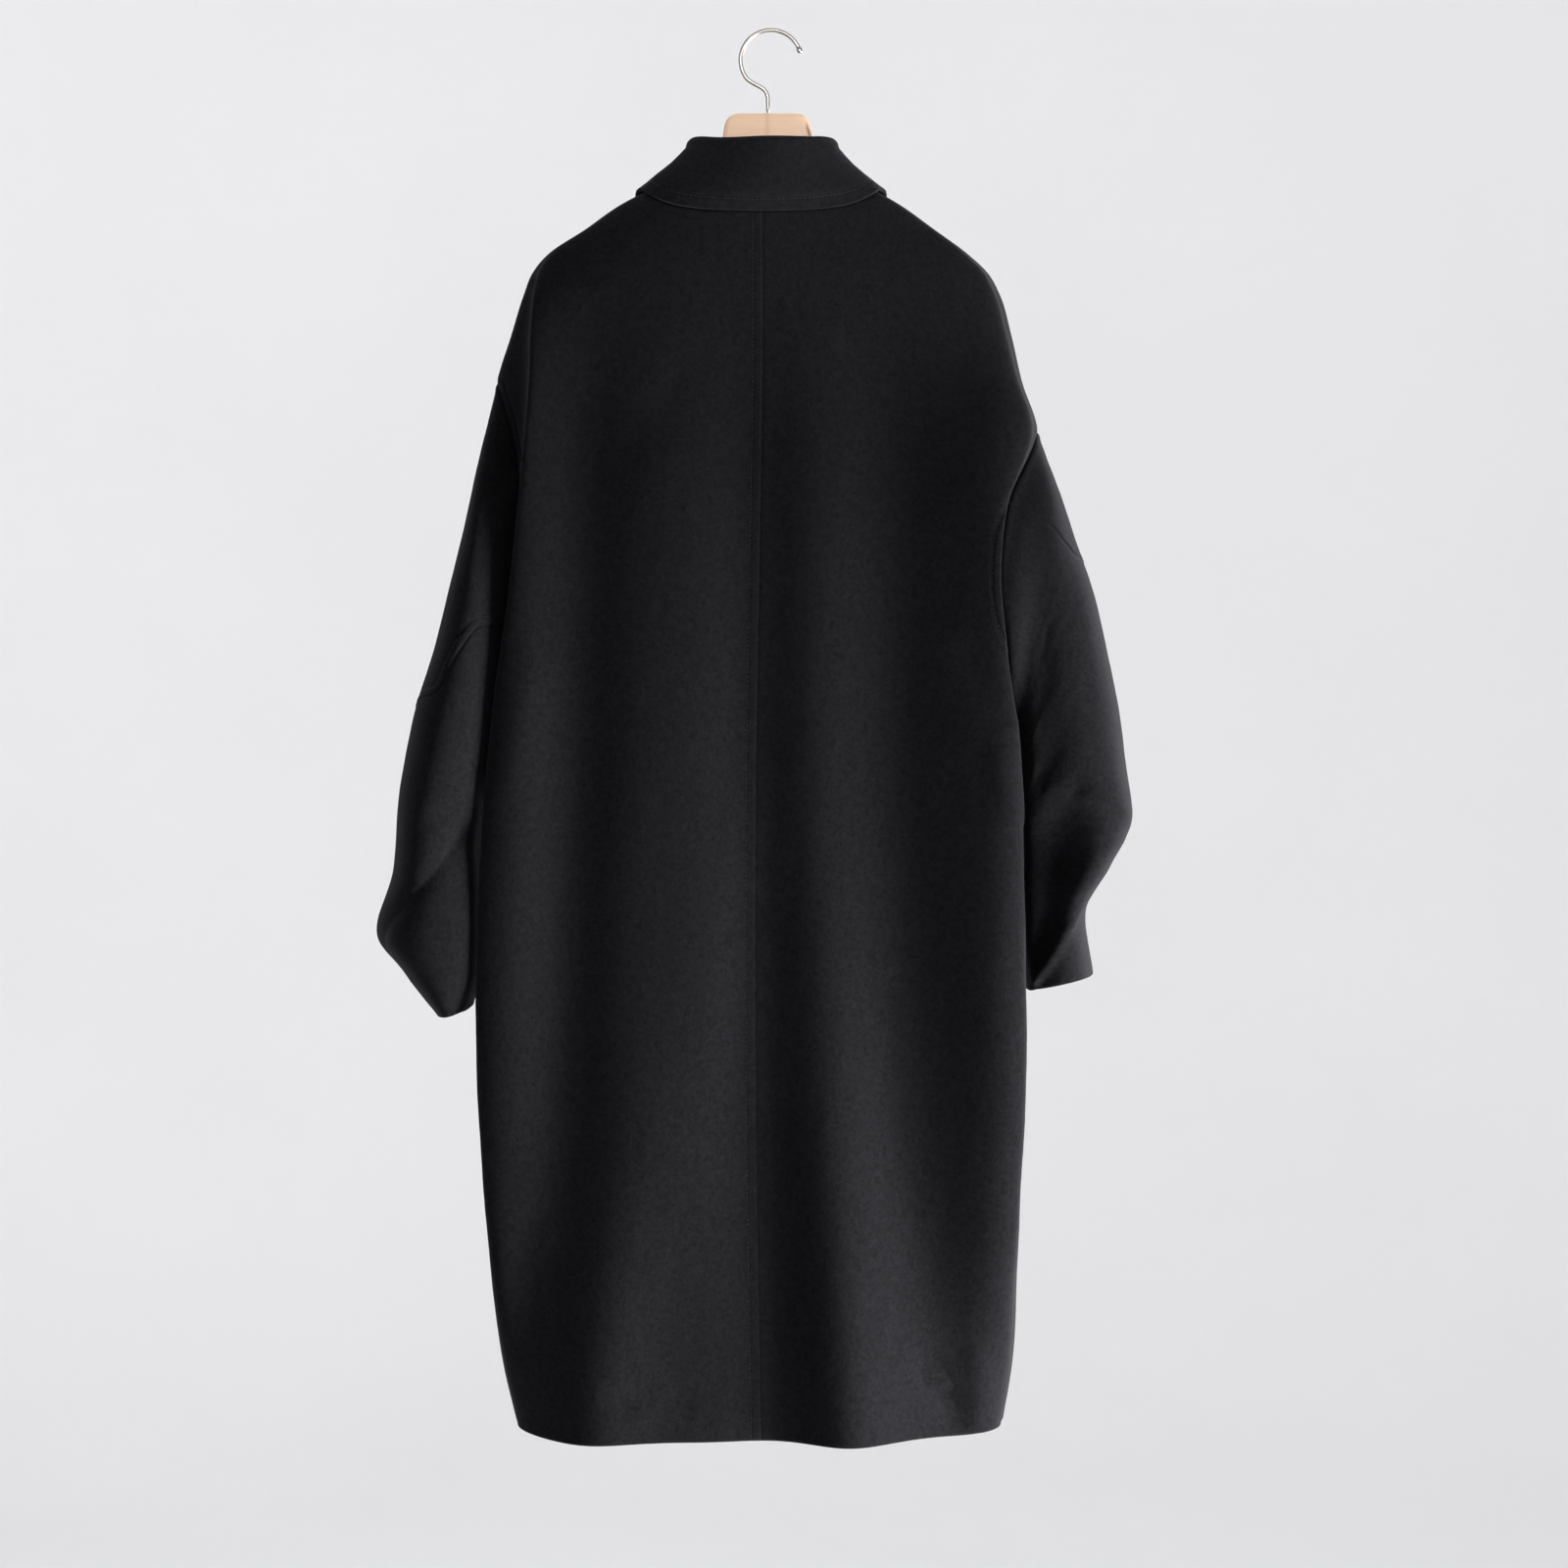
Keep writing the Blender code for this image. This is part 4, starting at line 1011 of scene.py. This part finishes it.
def sleeveGrid(side, shares, offsets):
    rings = side["rings"]
    turn = np.radians(np.arange(-180, 181))
    near, far = ((1 + np.cos(turn)) / 2)[:, None], ((1 - np.cos(turn)) / 2)[:, None]
    x = side["sign"] * (near * rings["outX"] + far * rings["inX"])
    sine, cosine = np.sin(turn)[:, None], np.cos(turn)[:, None]
    bulge = np.abs(sine) ** (1 - rings["square"] * (1 - cosine)) * np.sign(sine)
    y = rings["midY"] - bulge * rings["depth"] + cosine * rings["lean"]
    z = near * rings["outZ"] + far * rings["inZ"]
    first = np.array([armholePoint(side, a) for a in range(-180, 181)])
    lines = np.concatenate([first[None], np.moveaxis(np.stack([x, y, z], axis=2), 1, 0)])
    stations = np.linspace(0, 1, len(lines))
    whole = along(stations, lines, shares)
    starts = along(side["seam"]["share"], side["seam"]["angle"], shares)
    angles = (starts[:, None] - offsets[None] + 180) % 360 - 180
    spot = angles + 180
    low = np.minimum(spot.astype(int), 359)
    t = (spot - low)[..., None]
    row = np.arange(len(shares))[:, None]
    return whole[row, low] * (1 - t) + whole[row, low + 1] * t, angles, whole.mean(axis=1)


def sleeve(name, side, facing):
    look = sleeveLook
    shares = closerAtEnds(cloth["edge"] / look["edgeLength"], 1, look["rows"])
    offsets = closerAtEnds(cloth["edge"] / look["degree"], 360, look["across"])
    grid, angles, centres = sleeveGrid(side, shares, offsets)
    around = np.radians(angles) * look["radius"]
    down = np.broadcast_to(shares[:, None], angles.shape) * look["length"]
    rows = look["left" if side is left else "right"]
    lines = dict(rows)
    for end in ("Start", "End"):
        lines["a" + end] = np.radians(rows["b" + end]) * look["radius"]
        lines["b" + end] = rows["a" + end] * look["length"]
    folds = creases(lines, around, down) * ease(shares / look["creaseStart"])[:, None]
    grid = grid + unit(grid - centres[:, None]) * folds[..., None]
    normals = outwardNormals(grid, facing)
    normals[:, 0] = normals[:, -1] = unit(normals[:, 0] + normals[:, -1])
    dArm, _ = nearness(grid, grid[0])
    dSeam, sSeam = nearness(grid, grid[:, 0])
    dCuff, _ = nearness(grid, grid[-1])
    height = seamDip(dSeam)
    height += ripple(around, down, side["slack"]) * ease(dArm / look["slackStart"]) * look["slack"]
    besideSeam = np.arange(grid.shape[1]) < grid.shape[1] // 2
    if side is left:
        height += topstitched(dSeam, sSeam) * besideSeam
    else:
        raised, width = look["seamRaise"]
        height += raised * np.exp(-((dSeam / width) ** 2)) * besideSeam
    raised, width, place = look["armholeRaise"]
    height += raised * np.exp(-(((dArm - place) / width) ** 2))
    thick, rolled = turnedUp(dCuff)
    inward = unit(armholeCentre(side) - grid[0])
    outer = grid + normals * (height - rolled)[..., None] - inward * seamDip(dArm)[..., None]
    inner = grid - normals * np.maximum(thick - rolled, cloth["thinnest"])[..., None]
    inner[:4] -= normals[:4] * cloth["allowance"]
    piece = clothWall(name + "_cloth", outer, inner, facing, blackWool)
    dress(piece, name)
    if side is left:
        run = stitchLine(outer, normals, dSeam, cloth["stitchInset"], range(4, len(shares)), False)
        threads(name + "_stitches", [run])
    width, length, area = look["flat"][name]
    print(name, "made,", len(piece.data.polygons), "faces")


sleeve("sleeve_left", left, 1)
sleeve("sleeve_right", right, -1)


# collar: stand, roll and fall, two layers of cloth

collarRows = table(
    "turn rise lean bow edgeZ edgeShare lift",
    (0.00, 0.0495, 0.004, 0.004, -0.157, 0.00, 0.0075),
    (0.25, 0.0420, -0.005, 0.001, -0.157, 0.48, 0.0080),
    (0.50, 0.0270, -0.013, -0.002, -0.150, 1.00, 0.0075),
    (0.75, 0.0240, -0.008, 0.000, -0.180, 1.48, 0.0100),
    (1.00, 0.0170, 0.002, 0.003, -0.245, 1.74, 0.0080),
)

collarLook = {
    "roll": 0.0085,
    "end": 0.985,
    "foot": 0.0007,
    "thick": 0.0055,
    "fall": 0.0020,
    "fallReach": 0.020,
    "edge": 0.0011,
    "stations": 116,
    "profile": 40,
    "metresPerTurn": 0.22,
    "welt": {"inset": 0.0105, "rise": 0.0001, "dip": 0.0005},
    # height, length and start of the wave along its edge
    "wave": (0.0006, 0.027, 0.02),
    "flat": (0.62, 0.115, 0.0575),
}


def coatPoint(side, level, share):
    # share 0 is mid back, 1 the shoulder, 2 mid front
    face, part = (back, share) if share <= 1 else (front, 2 - share)
    line = section(side, face, level)
    return spread(line, np.array([part * runOf(line)[-1]]))[0]


def coatRun(side, level, share, reach):
    # the way along a level, going to the wearer's right on the back
    ends = [coatPoint(side, level, min(max(share + k, 0), 2)) for k in (-reach, reach)]
    return (ends[1] - ends[0]) * side["sign"]


def coatSkin(side, level, share):
    spot = coatPoint(side, level, share)
    down = spot - coatPoint(side, level - 0.01, share)
    return spot, unit(np.cross(coatRun(side, level, share, 0.04), down))


def mirrored(values, sign):
    return np.concatenate([sign * values[:0:-1], values])


def collarProfile(turn):
    look, rows = collarLook, collarRows
    side = left if turn < 0 else right
    far = 2 * abs(turn)
    rise, lean, bow, edgeZ, lift = (
        float(along(mirrored(rows["turn"], -1), mirrored(rows[c], 1), turn))
        for c in ("rise", "lean", "bow", "edgeZ", "lift")
    )
    edgeShare = float(along(rows["turn"], rows["edgeShare"], abs(turn)))
    neck = coatPoint(side, cut["neckSide"], far)
    run = coatRun(side, cut["neckSide"], far, 0.05)
    outward = np.array([run[1], -run[0], 0]) / math.hypot(run[0], run[1])
    up = np.array([0, 0, 1.0])
    foot = neck + up * look["foot"]
    roll = neck + up * (rise - look["roll"]) + outward * lean
    line = [foot + (roll - outward * look["roll"] - foot) * t for t in (0, 0.25, 0.5, 0.75)]
    for a in np.linspace(0, math.pi, 17):
        line.append(roll + look["roll"] * (up * math.sin(a) - outward * math.cos(a)))
    edge, normal = coatSkin(side, edgeZ, edgeShare)
    top = line[-1]
    drop = edge + normal * lift - top
    for t in np.linspace(0, 1, 13)[1:]:
        place = top + drop * t + outward * bow * math.sin(math.pi * t)
        level = cut["neckSide"] + (edgeZ - cut["neckSide"]) * t
        under, normal = coatSkin(side, level, far + (edgeShare - far) * t)
        line.append(place + normal * max(0.0, lift - float((place - under) @ normal)))
    line = np.array(line)
    run = runOf(line)
    edge = cloth["edge"]
    at = np.concatenate([np.linspace(0, run[-1] - edge[-1], look["profile"])[:-1], run[-1] - edge[::-1]])
    return along(run, line, at)


def collar():
    look = collarLook
    end = look["end"]
    turns = closerAtEnds(cloth["edge"] / look["metresPerTurn"], 2 * end, look["stations"]) - end
    grid = np.array([collarProfile(turn) for turn in turns])
    normals = outwardNormals(grid, 1)
    dEdge = np.array([runOf(row)[-1] - runOf(row) for row in grid])
    sEdge = np.broadcast_to(runOf(grid[:, -1])[:, None], dEdge.shape)
    dEnds = np.stack([runOf(grid[:, k]) for k in range(grid.shape[1])], axis=1)
    dEnds = np.minimum(dEnds, dEnds[-1] - dEnds)
    d = np.minimum(dEdge, dEnds)
    height = topstitched(d, sEdge, **look["welt"])
    height -= look["fall"] * (1 - ease(d / look["fallReach"]))
    wave, length, start = look["wave"]
    height += wave * np.sin(sEdge / length) * ease(d / start)
    rolled = edgeRound(d, look["edge"])
    outer = grid + normals * (height - rolled)[..., None]
    inner = grid - normals * (look["thick"] - rolled)[..., None]
    piece = clothWall("collar_cloth", outer, inner, 1, blackWool)
    dress(piece, "collar")
    run = stitchLine(outer, normals, d, look["welt"]["inset"], range(len(turns)), True)
    made = threads("collar_stitches", [run])
    width, length, area = look["flat"]
    print("collar made,", len(piece.data.polygons), "faces")


collar()


# buttons: dished, four holes, sewn with crossed thread

buttonLook = {
    "count": 4,
    "radius": 0.0140,
    "thick": 0.0046,
    "rim": 0.0022,
    "rimSlope": 0.0012,
    "dish": 0.0012,
    "hole": 0.0011,
    "spacing": 0.0028,
    "soft": 0.0005,
    # each bundle is two strands that rise over the dish and dive into the holes
    "strand": 0.00042,
    "strandApart": 0.00035,
    "strandRise": 0.0005,
    "strandDive": 0.0016,
    "diagonal": 1.41,
    "diveAt": 0.72,
}


def selectFaces(piece, test):
    bpy.ops.object.mode_set(mode="OBJECT")
    for face in piece.data.polygons:
        face.select = test(face)
    bpy.ops.object.mode_set(mode="EDIT")


def buttonModel():
    look = buttonLook
    deselect()
    bpy.ops.mesh.primitive_cylinder_add(
        vertices=64, radius=look["radius"], depth=look["thick"], location=(0, 0, look["thick"] / 2)
    )
    disc = bpy.context.object
    bpy.ops.object.transform_apply(location=True, rotation=False, scale=False)
    bpy.ops.object.mode_set(mode="EDIT")
    bpy.ops.mesh.select_mode(type="FACE")
    selectFaces(disc, lambda face: face.normal.z > 0.9)
    bpy.ops.mesh.inset(thickness=look["rim"], depth=0)
    bpy.ops.mesh.inset(thickness=look["rimSlope"], depth=-look["dish"])
    bpy.ops.object.mode_set(mode="OBJECT")
    for x in (-1, 1):
        for y in (-1, 1):
            deselect()
            spot = (x * look["spacing"] / 2, y * look["spacing"] / 2, look["thick"] / 2)
            bpy.ops.mesh.primitive_cylinder_add(vertices=20, radius=look["hole"], depth=0.02, location=spot)
            drill = bpy.context.object
            hole = disc.modifiers.new("hole", "BOOLEAN")
            hole.operation = "DIFFERENCE"
            hole.solver = "EXACT"
            hole.object = drill
            pick(disc)
            bpy.ops.object.modifier_apply(modifier="hole")
            bpy.data.objects.remove(drill)
    soft = disc.modifiers.new("soft", "BEVEL")
    soft.width = look["soft"]
    soft.segments = 3
    soft.limit_method = "ANGLE"
    soft.angle_limit = math.radians(35)
    bpy.ops.object.modifier_apply(modifier="soft")
    bpy.ops.object.shade_smooth_by_angle(angle=math.radians(40))
    disc.data.materials.append(darkHorn)
    return disc


def sewnThread():
    # two crossing bundles over the holes
    look = buttonLook
    top = look["thick"] - look["dish"]
    long, dive = look["spacing"] * look["diagonal"], look["spacing"] * look["diveAt"]
    made = []
    for side in (-1, 1):
        slant = side * math.pi / 4
        for shift in (-look["strandApart"], look["strandApart"]):
            deselect()
            bpy.ops.mesh.primitive_cylinder_add(vertices=8, radius=look["strand"], depth=long)
            line = bpy.context.object
            bpy.ops.object.mode_set(mode="EDIT")
            bpy.ops.mesh.select_all(action="SELECT")
            bpy.ops.mesh.subdivide(number_cuts=6)
            bpy.ops.object.mode_set(mode="OBJECT")
            line.data.transform(Matrix.Rotation(slant, 4, "Z") @ Matrix.Rotation(math.pi / 2, 4, "Y"))
            for vert in line.data.vertices:
                reach = min(1.0, math.hypot(vert.co.x, vert.co.y) / dive)
                vert.co.z += top + look["strandRise"] - look["strandDive"] * reach**4
                vert.co.x -= shift * math.sin(slant)
                vert.co.y += shift * math.cos(slant)
            made.append(line)
    pick(made[0])
    for line in made:
        line.select_set(True)
    bpy.ops.object.join()
    bpy.ops.object.shade_smooth()
    made[0].data.materials.append(blackThread)
    return made[0]


def buttonPlace(nodeName):
    # seat and axis of the solid button
    points = np.array([vert.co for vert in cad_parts[nodeName].data.vertices], float)
    points = np.unique(np.round(points, 6), axis=0)
    middle = (points.min(axis=0) + points.max(axis=0)) / 2
    _, _, axes = np.linalg.svd(points - points.mean(axis=0))
    axis = axes[2] if axes[2][1] > 0 else -axes[2]
    low = ((points - middle) @ axis).min()
    seat = Vector(middle + axis * low)
    return Matrix.Translation(seat) @ Vector(axis).to_track_quat("Z", "Y").to_matrix().to_4x4()


def buttons():
    disc, sewn = buttonModel(), sewnThread()
    for number in range(1, buttonLook["count"] + 1):
        place = buttonPlace(f"button_{number}")
        for model, kind in ((disc, "disc"), (sewn, "thread")):
            mesh = model.data.copy()
            mesh.transform(place)
            piece = bpy.data.objects.new(f"button_{number}_{kind}", mesh)
            bpy.context.scene.collection.objects.link(piece)
            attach(piece, "root")
            if kind == "disc":
                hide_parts(f"button_{number}")
    bpy.data.objects.remove(disc)
    bpy.data.objects.remove(sewn)
    print("buttons made")


buttons()


# hanger and hook: the solids, merged and smoothed

def smoothCopy(nodeName, name, finish, angle, rounds=0):
    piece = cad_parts[nodeName].copy()
    piece.data = piece.data.copy()
    for key in list(piece.keys()):
        del piece[key]
    piece.parent = None
    piece.matrix_world = Matrix.Identity(4)
    piece.name = piece.data.name = name
    bpy.context.scene.collection.objects.link(piece)
    pick(piece)
    bpy.ops.object.mode_set(mode="EDIT")
    bpy.ops.mesh.select_all(action="SELECT")
    bpy.ops.mesh.remove_doubles(threshold=1e-6)
    bpy.ops.mesh.tris_convert_to_quads(face_threshold=math.radians(40), shape_threshold=math.radians(60))
    bpy.ops.object.mode_set(mode="OBJECT")
    if rounds:
        smooth = piece.modifiers.new("smooth", "SUBSURF")
        smooth.levels = smooth.render_levels = rounds
        bpy.ops.object.modifier_apply(modifier="smooth")
    bpy.ops.object.shade_smooth_by_angle(angle=math.radians(angle))
    # flat faces keep their own direction beside the rounded edges
    weigh = piece.modifiers.new("weigh", "WEIGHTED_NORMAL")
    weigh.weight = 100
    weigh.keep_sharp = True
    bpy.ops.object.modifier_apply(modifier="weigh")
    piece.data.materials.clear()
    piece.data.materials.append(finish)
    dress(piece, nodeName)
    print(name, "made,", len(piece.data.polygons), "faces")


smoothCopy("hanger_body", "hanger_wood", paleBeech, 50)
smoothCopy("hanger_hook", "hanger_hook_wire", satinNickel, 60, 2)


# pale floor that rises into a round backdrop, window light from the right

studio = {
    "floor": -2.30,
    "flatRadius": 5.0,
    "curve": 2.5,
    "wallTop": 6.0,
    "paint": (0.80, 0.80, 0.81),
    "paintRise": 1.02,
    "camera": (0.0153, -3.5, -0.6903),
    "lens": 87.5,
    "sensor": 36,
    "sky": 0.19,
    "skyTint": (1.0, 0.99, 0.99, 1),
    # place, target, size, power, spread
    "lights": {
        "window": ((1.80, -0.66, -1.72), (0, -0.05, -1.20), (1.1, 1.0), 64, 110),
        "hanger_spot": ((0.25, -1.50, 0.35), (0, -0.01, -0.065), (0.30, 0.20), 0.16, 16),
        "side_window": ((2.4, 1.9, -0.8), (0, 0, -0.70), (1.2, 1.6), 32, 110),
        "wall_wash": ((0, 1.2, 3.6), (0, 7.0, -1.2), (7.0, 2.0), 250, 150),
        "front_wash": ((0, -3.6, 3.6), (0, -7.5, -1.2), (7.0, 2.0), 70, 150),
    },
}


def backdrop():
    deselect()
    radius, height, curve = studio["flatRadius"], 0.0, studio["curve"]
    middle = (0, 0, studio["floor"])
    bpy.ops.mesh.primitive_circle_add(vertices=96, radius=radius, fill_type="NGON", location=middle)
    cove = bpy.context.object
    cove.name = "cove"
    bpy.ops.object.mode_set(mode="EDIT")
    bpy.ops.mesh.select_mode(type="EDGE")
    bpy.ops.mesh.select_all(action="SELECT")
    bpy.ops.mesh.region_to_loop()
    steps = [math.radians(a) for a in range(9, 91, 9)]
    stops = [(radius + curve * math.sin(a), curve * (1 - math.cos(a))) for a in steps]
    for nextRadius, nextHeight in stops + [(stops[-1][0], studio["wallTop"])]:
        bpy.ops.mesh.extrude_region()
        bpy.ops.transform.translate(value=(0, 0, nextHeight - height))
        grow = nextRadius / radius
        bpy.ops.transform.resize(value=(grow, grow, 1), center_override=middle)
        radius, height = nextRadius, nextHeight
    bpy.ops.object.mode_set(mode="OBJECT")
    bpy.ops.object.transform_apply(location=True, rotation=True, scale=True)
    bpy.ops.object.shade_smooth()
    made, tree, shader, place = newFinish("palePaint")
    lighter = tuple(tone * studio["paintRise"] for tone in studio["paint"])
    noise = {"Scale": 1.2, "Detail": 2.0}
    clouded(tree, shader, place, noise, (0.3, studio["paint"]), (0.7, lighter))
    shader.inputs["Roughness"].default_value = 0.9
    shader.inputs["Specular IOR Level"].default_value = 0.1
    cove.data.materials.append(made)


def areaLight(name, spot, target, size, power, spread):
    deselect()
    bpy.ops.object.light_add(type="AREA", location=spot)
    lamp = bpy.context.object
    lamp.name = name
    lamp.rotation_euler = (Vector(target) - Vector(spot)).to_track_quat("-Z", "Y").to_euler()
    lamp.data.shape = "RECTANGLE"
    lamp.data.size, lamp.data.size_y = size
    lamp.data.energy = power
    lamp.data.spread = math.radians(spread)
    lamp.visible_camera = False


def studioLight():
    for name, row in studio["lights"].items():
        areaLight(name, *row)
    world = bpy.context.scene.world or bpy.data.worlds.new("World")
    bpy.context.scene.world = world
    world.use_nodes = True
    sky = world.node_tree.nodes["Background"]
    sky.inputs["Color"].default_value = studio["skyTint"]
    sky.inputs["Strength"].default_value = studio["sky"]
    bpy.context.scene.view_settings.view_transform = "Standard"


def camera():
    deselect()
    bpy.ops.object.camera_add(location=studio["camera"], rotation=(math.pi / 2, 0, 0))
    seen = bpy.context.object
    seen.data.lens = studio["lens"]
    seen.data.sensor_width = studio["sensor"]
    bpy.context.scene.camera = seen


backdrop()
studioLight()
camera()
print("studio ready")

bpy.context.view_layer.update()
